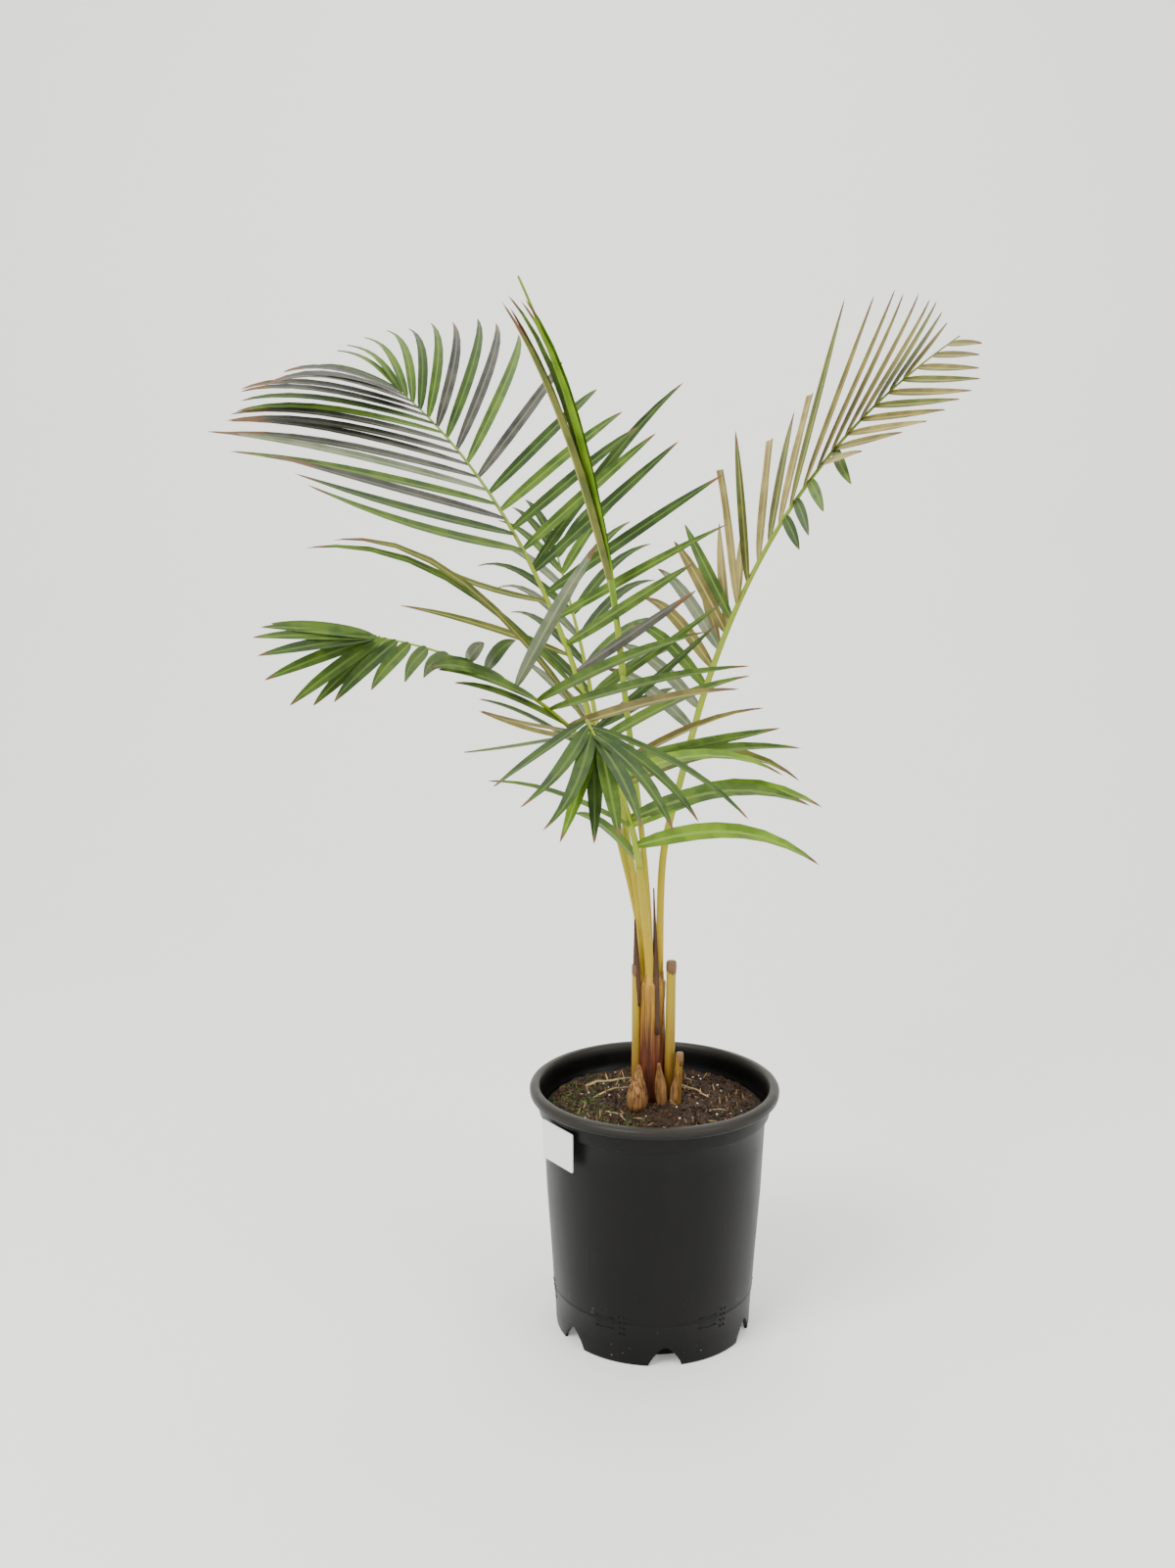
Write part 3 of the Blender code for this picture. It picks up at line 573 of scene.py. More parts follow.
def steady(values, share):
    """The smooth curve through evenly spaced values, read at a share of its length."""
    last = len(values) - 1
    place = min(max(share, 0.0), 1.0) * last
    index = min(int(place), last - 1)
    step = place - index
    here, after = values[index], values[index + 1]
    before = values[index - 1] if index > 0 else 2 * here - after
    beyond = values[index + 2] if index + 2 <= last else 2 * after - here
    slope = after - before
    bend = 2 * before - 5 * here + 4 * after - beyond
    twist = -before + 3 * here - 3 * after + beyond
    return here + 0.5 * (slope * step + bend * step ** 2 + twist * step ** 3)


def heading(climb, turn):
    """The way forwards and the way up across it, for a climb above level and a turn from +X."""
    rise, round_ = math.radians(climb), math.radians(turn)
    level = Vector((math.cos(round_), math.sin(round_), 0.0))
    forwards = level * math.cos(rise) + Vector((0.0, 0.0, math.sin(rise)))
    upwards = level * -math.sin(rise) + Vector((0.0, 0.0, math.cos(rise)))
    return forwards, upwards


def spine_of(frond, steps=30):
    """Points along a frond's spine, from the petiole's tip to the last leaflet."""
    point = Vector(frond["start"])
    points = [point.copy()]
    for step in range(steps):
        share = (step + 0.5) / steps
        forwards, _ = heading(steady(frond["climb"], share), steady(frond["turn"], share))
        point = point + forwards * (frond["length"] / steps)
        points.append(point.copy())
    return points


def point_on(points, share):
    place = min(max(share, 0.0), 1.0) * (len(points) - 1)
    index = min(int(place), len(points) - 2)
    return points[index].lerp(points[index + 1], place - index)


def leaflet_path(frond, spine, row, order, stray, nudge, shares):
    """Where a leaflet runs, with the way across its blade and the way its face looks."""
    first, last = row["span"]
    share = first + (last - first) * (1.0 - (1.0 - order) ** row["crowd"])
    along, face = heading(steady(frond["climb"], share), steady(frond["turn"], share))
    climb = steady(row["climb"], order) + STRAY_TURN * stray[0] + nudge[0]
    turn = steady(row["turn"], order) + STRAY_TURN * stray[1] + nudge[1]
    reach = steady(row["reach"], order) * (1.0 + STRAY_REACH * stray[2])
    droop = steady(row["droop"], order)
    pull = steady(row["pull"], order)
    roll = math.radians(row.get("roll", 0.0))
    forwards, _ = heading(climb, turn)
    point = point_on(spine, share)
    place = 0.0
    path = []
    for target in (*shares, 1.0):
        while place < target - 1e-9:
            step = min(STRIDE, target - place)
            middle = place + step / 2
            way = forwards + (Vector((0.0, 0.0, -droop)) + along * pull) * middle ** 2
            point = point + way.normalized() * (reach * step)
            place += step
        way = (forwards + (Vector((0.0, 0.0, -droop)) + along * pull) * place ** 2).normalized()
        normal = (face - way * face.dot(way)).normalized()
        normal.rotate(Quaternion(way, roll))
        path.append((point.copy(), way.cross(normal), normal))
    return path


print("leaflets", sum(row["count"] for frond in FRONDS.values() for row in frond["rows"].values()))

# %% [markdown]
# ## Stalks and ribs
# Each frond's stalk runs from the stem's top to its spine, and its rib follows the spine to the last
# leaflet. A curve with a bevel could make them. Rings in code give the same taper, and also the
# trees that later tell whether a leaflet meets another frond's stalk.

# %% Stalks and ribs
STALK_STEPS = 26
RIB_STEPS = 44
STALK_SINK = 0.002
RIB_END = 0.7


def stalk_line(frond):
    turn, distance = frond["foot"]
    round_ = math.radians(turn)
    foot = Vector((STEM.x + distance * math.cos(round_), STEM.y + distance * math.sin(round_),
                   STEM_TOP - STALK_SINK))
    forwards, _ = heading(frond["climb"][0], frond["turn"][0])
    tip = Vector(frond["start"])
    reach = (tip - foot).length
    first = foot + Vector((0.0, 0.0, reach * frond["bend"][0]))
    second = tip - forwards * reach * frond["bend"][1]
    points = []
    for step in range(STALK_STEPS + 1):
        share = step / STALK_STEPS
        rest = 1.0 - share
        points.append(foot * rest ** 3 + first * 3 * rest ** 2 * share
                      + second * 3 * rest * share ** 2 + tip * share ** 3)
    return points


stalk_trees = {}
for name, frond in FRONDS.items():
    line = stalk_line(frond)
    low, high = frond["stalk"]
    radii = [low + (high - low) * step / STALK_STEPS for step in range(STALK_STEPS + 1)]
    stalk = bmesh.new()
    add_tube(stalk, line, radii, 14, 0.92, 0.04, 3.0)
    rib = bmesh.new()
    spine = spine_of(frond)
    shares = [step / RIB_STEPS for step in range(RIB_STEPS + 1)]
    thick, thin = frond["rib"]
    add_tube(rib, [point_on(spine, share) for share in shares],
             [thick + (thin * RIB_END - thick) * share for share in shares], 10)
    stalk_trees[name] = [BVHTree.FromBMesh(stalk), BVHTree.FromBMesh(rib)]
    add_piece("stalk_" + name, mesh_of(stalk, "stalk_" + name), STALK, ["petiole_" + name])
    add_piece("rib_" + name, mesh_of(rib, "rib_" + name), RIB)

# %% [markdown]
# ## Leaflets
# A leaflet is a long thin blade folded along its keel into a shallow V. Each one is a closed body of
# a few dozen faces. Its root is sunk in the rib and its end is a point, or is cut off square in the
# row whose ends have broken. Leaflets of one tone on one frond are joined into one piece.

# %% Leaflet shape
STATIONS = (0.0, 0.05, 0.13, 0.24, 0.36, 0.48, 0.60, 0.72, 0.83, 0.92, 0.97)
WIDTHS = (0.34, 0.62, 0.84, 0.97, 1.0, 0.98, 0.90, 0.76, 0.55, 0.32, 0.16)
FOLD = 0.16
BLADE = 0.00035
KEEL = 0.0008
BLUNT_FROM = 8
STRAIGHT_FROM = 5
STRAIGHT_WIDTH = 0.86
SPEAR_PLEAT = 1.7


def add_leaflet(bm, uv, path, width, blunt):
    rings = []
    places = {}
    for index, (share, (point, across, normal)) in enumerate(zip(STATIONS, path)):
        wide = width * WIDTHS[index]
        if blunt and index > BLUNT_FROM:
            break
        if blunt and index > STRAIGHT_FROM:
            wide = width * STRAIGHT_WIDTH
        lift = normal * wide * FOLD
        ring = [(point - across * wide / 2 + lift, 0.0), (point - normal * KEEL, 0.5),
                (point + across * wide / 2 + lift, 1.0), (point + normal * BLADE, 0.5)]
        corners = []
        for place, side in ring:
            vertex = bm.verts.new(place)
            places[vertex] = (share, side)
            corners.append(vertex)
        rings.append(corners)
    faces = [bm.faces.new(list(reversed(rings[0])))]
    for near, far in zip(rings, rings[1:]):
        for index in range(4):
            other = (index + 1) % 4
            faces.append(bm.faces.new((near[index], near[other], far[other], far[index])))
    if blunt:
        faces.append(bm.faces.new(rings[-1]))
    else:
        tip = bm.verts.new(path[-1][0])
        places[tip] = (1.0, 0.5)
        for index in range(4):
            faces.append(bm.faces.new((rings[-1][index], rings[-1][(index + 1) % 4], tip)))
    for face in faces:
        for loop in face.loops:
            loop[uv].uv = places[loop.vert]


def in_the_way(path, width, trees):
    """Whether a flat strip along the leaflet would meet another frond's stalk or rib."""
    strip = bmesh.new()
    pairs = [(strip.verts.new(point - across * width / 2), strip.verts.new(point + across * width / 2))
             for point, across, _ in path]
    for near, far in zip(pairs, pairs[1:]):
        strip.faces.new((near[0], near[1], far[1], far[0]))
    tree = BVHTree.FromBMesh(strip)
    strip.free()
    return any(tree.overlap(other) for other in trees)


print("faces in a pointed leaflet", 4 * len(STATIONS) + 1)

# %% [markdown]
# ## Dealing out the tones
# The tall left frond is dark green with dusky upper leaflets, the right one is bronze and tan below
# and olive above, and the lower fronds are a brighter green. A seeded draw picks each leaflet's tone
# from its row's own mixture, so neighbours differ as they do on the plant.

# %% Tones and leaflets
TONES = {
    "left": {"right": ("deep", "green", "green", "deep", "dusk"),
             "left": ("dusk", "deep", "grey", "dusk", "green"),
                          "low": ("green", "green", "olive"), "tall": ("deep",)},
    "right": {"blunt": ("tan", "tan", "olive"), "top": ("olive", "tan", "olive", "bronze"),
              "inner": ("bronze", "tan"), "right": ("olive", "bronze", "tan"),
              "hanging": ("deep", "green"), "far": ("grey", "green", "grey", "bronze")},
    "low": {"right": ("green", "olive", "bronze"), "crest": ("grey", "grey", "deep"),
            "left": ("deep", "green", "green"), "dry": ("tan", "bronze")},
    "front": {"low": ("bright", "green", "green"), "right": ("green", "bright", "olive"),
              "tip": ("deep", "green", "deep"), "left": ("deep", "green", "bright"),
              "thin": ("green", "grey")},
    "back": {"right": ("green", "deep"), "left": ("green", "deep", "grey")},
    "spear": {"right": ("bright", "green", "bright"), "left": ("bright", "olive")},
}
stray_draw = random.Random(SEED)
tone_draw = random.Random(SEED + 1)
for name, frond in FRONDS.items():
    spine = spine_of(frond)
    trees = [tree for other, pair in stalk_trees.items() if other != name for tree in pair]
    batches = {}
    moved = 0
    for row_name, row in frond["rows"].items():
        for index in range(row["count"]):
            order = index / max(row["count"] - 1, 1)
            stray = [stray_draw.uniform(-1.0, 1.0) for _ in range(3)]
            width = row.get("width", frond["width"]) * (SPEAR_PLEAT if name == "spear" else 1.0)
            for nudge in NUDGES:
                path = leaflet_path(frond, spine, row, order, stray, nudge, STATIONS)
                if not in_the_way(path, width, trees):
                    break
                moved += 1
            tone = tone_draw.choice(TONES[name][row_name])
            if tone not in batches:
                bm = bmesh.new()
                batches[tone] = (bm, bm.loops.layers.uv.new("blade"))
            add_leaflet(*batches[tone], path, width, row_name == "blunt" and index % 2 == 0)
    for tone, (bm, uv) in sorted(batches.items()):
        label = f"leaflets_{name}_{tone}"
        add_piece(label, mesh_of(bm, label, False), LEAVES[tone], ["frond_" + name])
    print(name, "turned aside", moved)

# %% [markdown]
# ## The stem of clasping leaf bases
# A young palm's stem is hardly a trunk: it is the bases of its leaves, one clasping the next. So a
# core is made with long folds in its skin, and a base runs down it under each stalk and widens at
# the soil. The cut stalks of older leaves stand round it and end dry.

# %% Stem and cut stalks
SUNK = 0.004
CORE_STEPS = 20
CORE_RADIUS = 0.0148
CORE_WAIST = 0.0016
CORE_TOP_RADIUS = 0.0105
BASE_STEPS = 16
BASE_RADIUS = 0.0100
STUB_STEPS = 14
core = bmesh.new()
core_shares = [step / CORE_STEPS for step in range(CORE_STEPS + 1)]
core_points = [Vector((STEM.x, STEM.y, SOIL_TOP - SUNK + (STEM_TOP - SOIL_TOP + 0.003) * share))
               for share in core_shares]
core_radii = [CORE_RADIUS - CORE_WAIST * math.sin(math.pi * min(share * 1.15, 1.0))
              for share in core_shares]
core_radii[-1] = CORE_TOP_RADIUS
add_tube(core, core_points, core_radii, 40, 1.0, 0.10, 1.0)
add_piece("stem_core", mesh_of(core, "stem_core"), STEM_SKIN, ["stem"])
bases = bmesh.new()
for name, frond in FRONDS.items():
    if name == "spear":
        continue
    turn = math.radians(frond["foot"][0])
    out = Vector((math.cos(turn), math.sin(turn), 0.0))
    line = [Vector((STEM.x, STEM.y, 0.0)) + out * (frond["foot"][1] - 0.0020 * share)
            + Vector((0.0, 0.0, STEM_TOP + 0.004 + (SOIL_TOP - 0.006 - STEM_TOP) * share))
            for share in (step / BASE_STEPS for step in range(BASE_STEPS + 1))]
    radii = [frond["stalk"][0] + 0.0006 + (BASE_RADIUS - frond["stalk"][0]) * (step / BASE_STEPS) ** 0.8
             for step in range(BASE_STEPS + 1)]
    add_tube(bases, line, radii, 20, 0.85, 0.08, turn)
add_piece("leaf_bases", mesh_of(bases, "leaf_bases"), STEM_SKIN)

STUBS = {
    "stub_left": ((-0.0153, -0.0108), 0.0043, 0.386, 0.0),
    "stub_right": ((0.0192, -0.0055), 0.0057, 0.3875, 0.0012),
    "stub_low": ((0.0268, -0.0135), 0.0046, 0.294, 0.0025),
}
for name, (place, radius, top, lean) in STUBS.items():
    foot = Vector((STEM.x + place[0], STEM.y + place[1], SOIL_TOP - SUNK))
    tip = Vector((foot.x + lean, foot.y, top))
    points = [foot.lerp(tip, step / STUB_STEPS) for step in range(STUB_STEPS + 1)]
    radii = [radius * (1.0 - 0.08 * step / STUB_STEPS) for step in range(STUB_STEPS + 1)]
    radii[-1] *= 0.78
    body = bmesh.new()
    add_tube(body, points, radii, 18, 0.85, 0.08, top * 40)
    add_piece(name + "_skin", mesh_of(body, name), STUB, [name])
    cap = bmesh.new()
    cap_points = [tip + Vector((0.0, 0.0, height)) for height in (-0.013, -0.006, -0.001, 0.0006)]
    add_tube(cap, cap_points, (radius * 0.88, radius * 0.98, radius * 0.94, radius * 0.84), 16, 0.88, 0.16,
             top * 70)
    add_piece(name + "_end", mesh_of(cap, name + "_end"), CUT)

# %% [markdown]
# ## Dry husks
# Old leaf bases dry into curled husks. A husk is a strip bent round its own length, with a real
# thickness, so it is made as a front and a back surface joined along their edges.

# %% Husks
def add_husk(bm, foot, tip, width, curl, thickness=0.0007, seed=0.0):
    way = (tip - foot).normalized()
    face = (Vector((0.0, -1.0, 0.0)) + way * way.y).normalized()
    across = way.cross(face)
    columns = 7
    rows = 14
    skins = []
    for lift in (0.0, thickness):
        skin = []
        for row in range(rows + 1):
            share = row / rows
            wide = width * (0.75 + 0.45 * math.sin(math.pi * min(share * 1.2, 1.0))) * (1 - 0.65 * share ** 3)
            line = []
            for column in range(columns):
                side = column / (columns - 1) * 2 - 1
                ripple = noise.noise(Vector((side * 2, share * 6, seed))) * width * 0.14
                place = foot.lerp(tip, share) + across * side * wide / 2
                place += face * (lift + curl * (1 - side * side) * wide + ripple)
                line.append(bm.verts.new(place))
            skin.append(line)
        skins.append(skin)
    back, front = skins
    for row in range(rows):
        for column in range(columns - 1):
            for skin in skins:
                bm.faces.new((skin[row][column], skin[row][column + 1], skin[row + 1][column + 1],
                              skin[row + 1][column]))
        for column in (0, columns - 1):
            bm.faces.new((back[row][column], front[row][column], front[row + 1][column],
                          back[row + 1][column]))
    for row in (0, rows):
        for column in range(columns - 1):
            bm.faces.new((back[row][column], back[row][column + 1], front[row][column + 1],
                          front[row][column]))


HUSKS = {
    "husk_flap": ("sheath_flap", (0.012, -0.0185, -0.004), (0.008, -0.0165, 0.042), 0.0105, 0.25, HUSK),
    "husk_curl": ("sheath_curl", (-0.0128, -0.0112, 0.100), (-0.0165, -0.0125, 0.190), 0.0060, 0.35,
                  DARK_HUSK),
    "husk_dark": ("sheath_dark", (0.0070, -0.0125, 0.070), (0.0020, -0.0115, 0.222), 0.0050, 0.30,
                  DARK_HUSK),
}
for index, (name, (node, foot, tip, width, curl, finish)) in enumerate(HUSKS.items()):
    body = bmesh.new()
    add_husk(body, STEM + Vector(foot), STEM + Vector(tip), width, curl, 0.0007, index * 5.0)
    add_piece(name, mesh_of(body, name), finish, [node])
extra = bmesh.new()
add_husk(extra, STEM + Vector((0.0225, -0.0180, -0.003)), STEM + Vector((0.0270, -0.0190, 0.034)), 0.008,
         0.3, 0.0007, 31.0)
add_piece("husk_small", mesh_of(extra, "husk_small"), HUSK)
bulb = bmesh.new()
bulb_line = [(-0.0140, -0.0300, -0.003), (-0.0140, -0.0299, 0.004), (-0.0138, -0.0292, 0.011),
             (-0.0132, -0.0280, 0.019), (-0.0126, -0.0258, 0.027), (-0.0121, -0.0240, 0.035),
             (-0.0118, -0.0225, 0.042)]
add_tube(bulb, [STEM + Vector(point) for point in bulb_line],
         (0.0088, 0.0108, 0.0110, 0.0092, 0.0064, 0.0038, 0.0016), 22, 0.9, 0.12, 9.0)
add_piece("husk_bulb", mesh_of(bulb, "husk_bulb"), HUSK, ["sheath_bulb"])

# %% [markdown]
# ## The filling
# The filling is dark peat with bark chips, white perlite, moss and straw on it. The peat is a mound
# of rings whose heights follow a noise. The loose bits repeat, so Geometry Nodes scatter them over
# the mound with a fixed seed, and the result is kept as plain meshes.

# %% Peat
RINGS = 30
SPOKES = 84
SOIL_EDGE = 0.234
SOIL_RADIUS = 0.1106
WALL_RINGS = ((0.1106, 0.2270), (0.1073, 0.1500), (0.1025, 0.0800), (0.0974, 0.0196))


def soil_height(x, y):
    distance = math.hypot(x, y)
    share = min(max((distance - 0.030) / 0.070, 0.0), 1.0)
    mound = SOIL_TOP - (SOIL_TOP - SOIL_EDGE) * share
    rough = noise.noise(Vector((x * 60, y * 60, 0.0))) * 0.0022
    fine = noise.noise(Vector((x * 220, y * 220, 5.0))) * 0.0012
    return mound + rough + fine - 0.0015


peat_body = bmesh.new()
top = peat_body.verts.new((0.0, 0.0, soil_height(0.0, 0.0)))
rings = []
for ring in range(1, RINGS + 1):
    radius = SOIL_RADIUS * ring / RINGS
    rings.append([])
    for spoke in range(SPOKES):
        turn = spoke * math.tau / SPOKES
        x, y = radius * math.cos(turn), radius * math.sin(turn)
        rings[-1].append(peat_body.verts.new((x, y, soil_height(x, y))))
rings += [ring_at(peat_body, radius, height, SPOKES) for radius, height in WALL_RINGS]
for spoke in range(SPOKES):
    other = (spoke + 1) % SPOKES
    peat_body.faces.new((top, rings[0][spoke], rings[0][other]))
    for near, far in zip(rings, rings[1:]):
        peat_body.faces.new((near[spoke], far[spoke], far[other], near[other]))
peat_body.faces.new(list(reversed(rings[-1])))
add_piece("peat", mesh_of(peat_body, "peat"), PEAT, ["soil"])

# %% Loose bits, scattered by nodes
def scatter_tree():
    tree = bpy.data.node_groups.new("scatter", "GeometryNodeTree")
    face = tree.interface
    face.new_socket("Ground", in_out="INPUT", socket_type="NodeSocketGeometry")
    for name, kind in (("Density", "Float"), ("Size", "Float"), ("Seed", "Int"), ("Stretch", "Vector"),
                       ("Finish", "Material")):
        face.new_socket(name, in_out="INPUT", socket_type="NodeSocket" + kind)
    face.new_socket("Bits", in_out="OUTPUT", socket_type="NodeSocketGeometry")
    make = tree.nodes.new
    source, result = make("NodeGroupInput"), make("NodeGroupOutput")
    points = make("GeometryNodeDistributePointsOnFaces")
    bit = make("GeometryNodeMeshIcoSphere")
    shape = make("GeometryNodeTransform")
    turn, size = make("FunctionNodeRandomValue"), make("FunctionNodeRandomValue")
    turn.data_type = "FLOAT_VECTOR"
    turn.inputs[1].default_value = (math.tau, math.tau, math.tau)
    size.data_type = "FLOAT"
    size.inputs[2].default_value = 0.45
    size.inputs[3].default_value = 1.35
    place, real, paint = (make("GeometryNodeInstanceOnPoints"), make("GeometryNodeRealizeInstances"),
                          make("GeometryNodeSetMaterial"))
    bit.inputs["Subdivisions"].default_value = 1
    join = tree.links.new
    join(source.outputs["Ground"], points.inputs["Mesh"])
    join(source.outputs["Density"], points.inputs["Density"])
    join(source.outputs["Seed"], points.inputs["Seed"])
    join(source.outputs["Size"], bit.inputs["Radius"])
    join(bit.outputs["Mesh"], shape.inputs["Geometry"])
    join(source.outputs["Stretch"], shape.inputs["Scale"])
    join(points.outputs["Points"], place.inputs["Points"])
    join(shape.outputs["Geometry"], place.inputs["Instance"])
    join(turn.outputs["Value"], place.inputs["Rotation"])
    join(size.outputs[1], place.inputs["Scale"])
    join(source.outputs["Seed"], size.inputs["Seed"])
    join(place.outputs["Instances"], real.inputs["Geometry"])
    join(real.outputs["Geometry"], paint.inputs["Geometry"])
    join(source.outputs["Finish"], paint.inputs["Material"])
    join(paint.outputs["Geometry"], result.inputs["Bits"])
    return tree


SCATTER = scatter_tree()
GROUND_RINGS = 8
GROUND_SPOKES = 48


def ground_mesh(inside, outside, first, last):
    """The open surface that one kind of bit lies on."""
    bm = bmesh.new()
    grid = []
    for ring in range(GROUND_RINGS + 1):
        radius = inside + (outside - inside) * ring / GROUND_RINGS
        line = []
        for spoke in range(GROUND_SPOKES + 1):
            turn = first + (last - first) * spoke / GROUND_SPOKES
            x, y = radius * math.cos(turn), radius * math.sin(turn)
            line.append(bm.verts.new((x, y, soil_height(x, y) + 0.0004)))
        grid.append(line)
    for near, far in zip(grid, grid[1:]):
        for spoke in range(GROUND_SPOKES):
            bm.faces.new((near[spoke], far[spoke], far[spoke + 1], near[spoke + 1]))
    bmesh.ops.recalc_face_normals(bm, faces=bm.faces)
    mesh = bpy.data.meshes.new("ground")
    bm.to_mesh(mesh)
    bm.free()
    return mesh


def scatter(name, ground, values, finish):
    holder = bpy.data.objects.new(name, ground)
    bpy.context.scene.collection.objects.link(holder)
    nodes = holder.modifiers.new("scatter", "NODES")
    nodes.node_group = SCATTER
    names = {item.name: item.identifier for item in SCATTER.interface.items_tree
             if item.in_out == "INPUT"}
    for key, value in {**values, "Finish": finish}.items():
        nodes[names[key]] = value
    bpy.context.view_layer.update()
    evaluated = holder.evaluated_get(bpy.context.evaluated_depsgraph_get())
    mesh = bpy.data.meshes.new_from_object(evaluated)
    bpy.data.objects.remove(holder, do_unlink=True)
    return add_piece(name, mesh, finish)


# Each kind: name, inner and outer radius, first and last angle, bits per square metre, size, seed,
# stretch and finish.
AROUND = (0.0, math.tau)
MOSSY_SIDE = (math.radians(120), math.radians(260))
BITS = (
    ("bark_chips", 0.016, 0.106, AROUND, 26000.0, 0.0034, 3, (1.0, 0.55, 0.3), BARK),
    ("fine_bark", 0.014, 0.107, AROUND, 60000.0, 0.0016, 5, (1.0, 0.7, 0.5), BARK),
    ("perlite", 0.020, 0.104, AROUND, 2800.0, 0.0013, 8, (1.0, 0.9, 0.8), PERLITE),
    ("moss", 0.050, 0.106, MOSSY_SIDE, 30000.0, 0.0022, 11, (1.0, 0.6, 0.6), MOSS),
    ("straw_bits", 0.022, 0.095, AROUND, 3400.0, 0.0075, 14, (1.0, 0.10, 0.07), STRAW),
)
for name, inside, outside, angles, density, size, seed, stretch, finish in BITS:
    values = {"Density": density, "Size": size, "Seed": seed, "Stretch": stretch}
    scatter(name, ground_mesh(inside, outside, *angles), values, finish)

# %% Straws
STRAW_STEPS = 8
straws = bmesh.new()
STRAWS = (((-0.070, 0.045), (-0.022, 0.060), 0.0016), ((-0.062, 0.010), (-0.024, 0.028), 0.0012),
          ((0.030, 0.034), (0.056, 0.004), 0.0014), ((-0.050, -0.030), (-0.030, -0.052), 0.0008),
          ((0.020, 0.050), (0.034, 0.020), 0.0008), ((0.050, -0.030), (0.078, -0.020), 0.0007))
for first, last, radius in STRAWS:
    line = []
    for step in range(STRAW_STEPS + 1):
        share = step / STRAW_STEPS
        x = first[0] + (last[0] - first[0]) * share
        y = first[1] + (last[1] - first[1]) * share
        line.append(Vector((x, y, soil_height(x, y) + radius + 0.002 * math.sin(share * math.pi))))
    add_tube(straws, line, [radius * (1 - 0.5 * step / 8) for step in range(STRAW_STEPS + 1)], 8, 0.6)
add_piece("straws", mesh_of(straws, "straws"), STRAW)

# %% [markdown]
# ## The pot
# A nursery pot is moulded in thin black plastic: a rolled rim, a collar, a wall that tapers to the
# foot, and arches round the foot that let water out. A Screw modifier could turn its profile. Rings
# in code do the same and stay exact, and then six wedges cut the arches with Boolean modifiers.

# %% Pot
POT_STEPS = 144
PROFILE = (
    (0.1175, 0.2576), (0.1184, 0.2583), (0.1200, 0.2585), (0.1222, 0.2584), (0.1244, 0.2579),
    (0.1260, 0.2566), (0.1269, 0.2549), (0.1270, 0.2530), (0.1268, 0.2505), (0.1262, 0.2487),
    (0.1250, 0.2479), (0.1230, 0.2478), (0.1196, 0.2477), (0.1189, 0.2468), (0.1187, 0.2440),
    (0.1177, 0.2325), (0.1174, 0.2312), (0.1160, 0.2303), (0.1140, 0.2296), (0.1135, 0.2285),
    (0.1123, 0.2050), (0.1100, 0.1500), (0.1075, 0.1130), (0.1052, 0.0800), (0.1033, 0.0470),
    (0.1030, 0.0455), (0.1033, 0.0440), (0.1031, 0.0425), (0.1025, 0.0410), (0.1010, 0.0160),
    (0.1007, 0.0040), (0.1002, 0.0006), (0.0995, 0.0), (0.0976, 0.0), (0.0971, 0.0006),
    (0.0959, 0.0160), (0.0800, 0.0160), (0.0784, 0.0010), (0.0778, 0.0), (0.0, 0.0), (0.0, 0.003),
    (0.0750, 0.003), (0.0768, 0.0190), (0.0979, 0.0190), (0.1028, 0.0800), (0.1076, 0.1500),
    (0.1111, 0.2280), (0.1147, 0.2330), (0.1152, 0.2400), (0.1154, 0.2450), (0.1163, 0.2545),
)
pot = bmesh.new()
rings = []
for radius, height in PROFILE:
    if radius == 0.0:
        rings.append([pot.verts.new((0.0, 0.0, height))])
    else:
        rings.append(ring_at(pot, radius, height, POT_STEPS))
for near, far in zip(rings, (*rings[1:], rings[0])):
    if len(near) == 1 and len(far) == 1:
        continue
    for step in range(POT_STEPS):
        other = (step + 1) % POT_STEPS
        corners = [near[step % len(near)], far[step % len(far)], far[other % len(far)],
                   near[other % len(near)]]
        pot.faces.new(list(dict.fromkeys(corners)))
pot_mesh = mesh_of(pot, "pot_shell")

ARCH = ((-0.5, -0.2), (0.5, -0.2), (0.47, 0.12), (0.42, 0.30), (0.34, 0.50), (0.25, 0.68), (0.14, 0.85),
        (0.05, 0.94), (-0.05, 0.94), (-0.14, 0.85), (-0.25, 0.68), (-0.34, 0.50), (-0.42, 0.30),
        (-0.47, 0.12))
ARCH_WIDTH = 0.034
ARCH_HEIGHTS = (0.015, 0.024)
ARCH_RADII = (0.082, 0.110)
wedges = []
for index in range(6):
    turn = math.radians(-85.0 + index * 60.0)
    out = Vector((math.cos(turn), math.sin(turn), 0.0))
    side = Vector((-math.sin(turn), math.cos(turn), 0.0))
    wedge = bmesh.new()
    ends = [[wedge.verts.new(out * radius + side * across * ARCH_WIDTH + Vector((0, 0, up * height)))
             for across, up in ARCH] for radius, height in zip(ARCH_RADII, ARCH_HEIGHTS)]
    wedge.faces.new(ends[0])
    wedge.faces.new(list(reversed(ends[1])))
    for step in range(len(ARCH)):
        other = (step + 1) % len(ARCH)
        wedge.faces.new((ends[0][step], ends[1][step], ends[1][other], ends[0][other]))
    cutter = bpy.data.objects.new(f"wedge_{index}", mesh_of(wedge, f"wedge_{index}", False))
    bpy.context.scene.collection.objects.link(cutter)
    wedges.append(cutter)
holder = bpy.data.objects.new("pot_holder", pot_mesh)
bpy.context.scene.collection.objects.link(holder)
for cutter in wedges:
    cut = holder.modifiers.new(cutter.name, "BOOLEAN")
    cut.operation = "DIFFERENCE"
    cut.object = cutter
bpy.context.view_layer.update()
cut_mesh = bpy.data.meshes.new_from_object(holder.evaluated_get(bpy.context.evaluated_depsgraph_get()))
for thing in (holder, *wedges):
    bpy.data.objects.remove(thing, do_unlink=True)
cut_mesh.shade_smooth()
cut_mesh.set_sharp_from_angle(angle=math.radians(38))
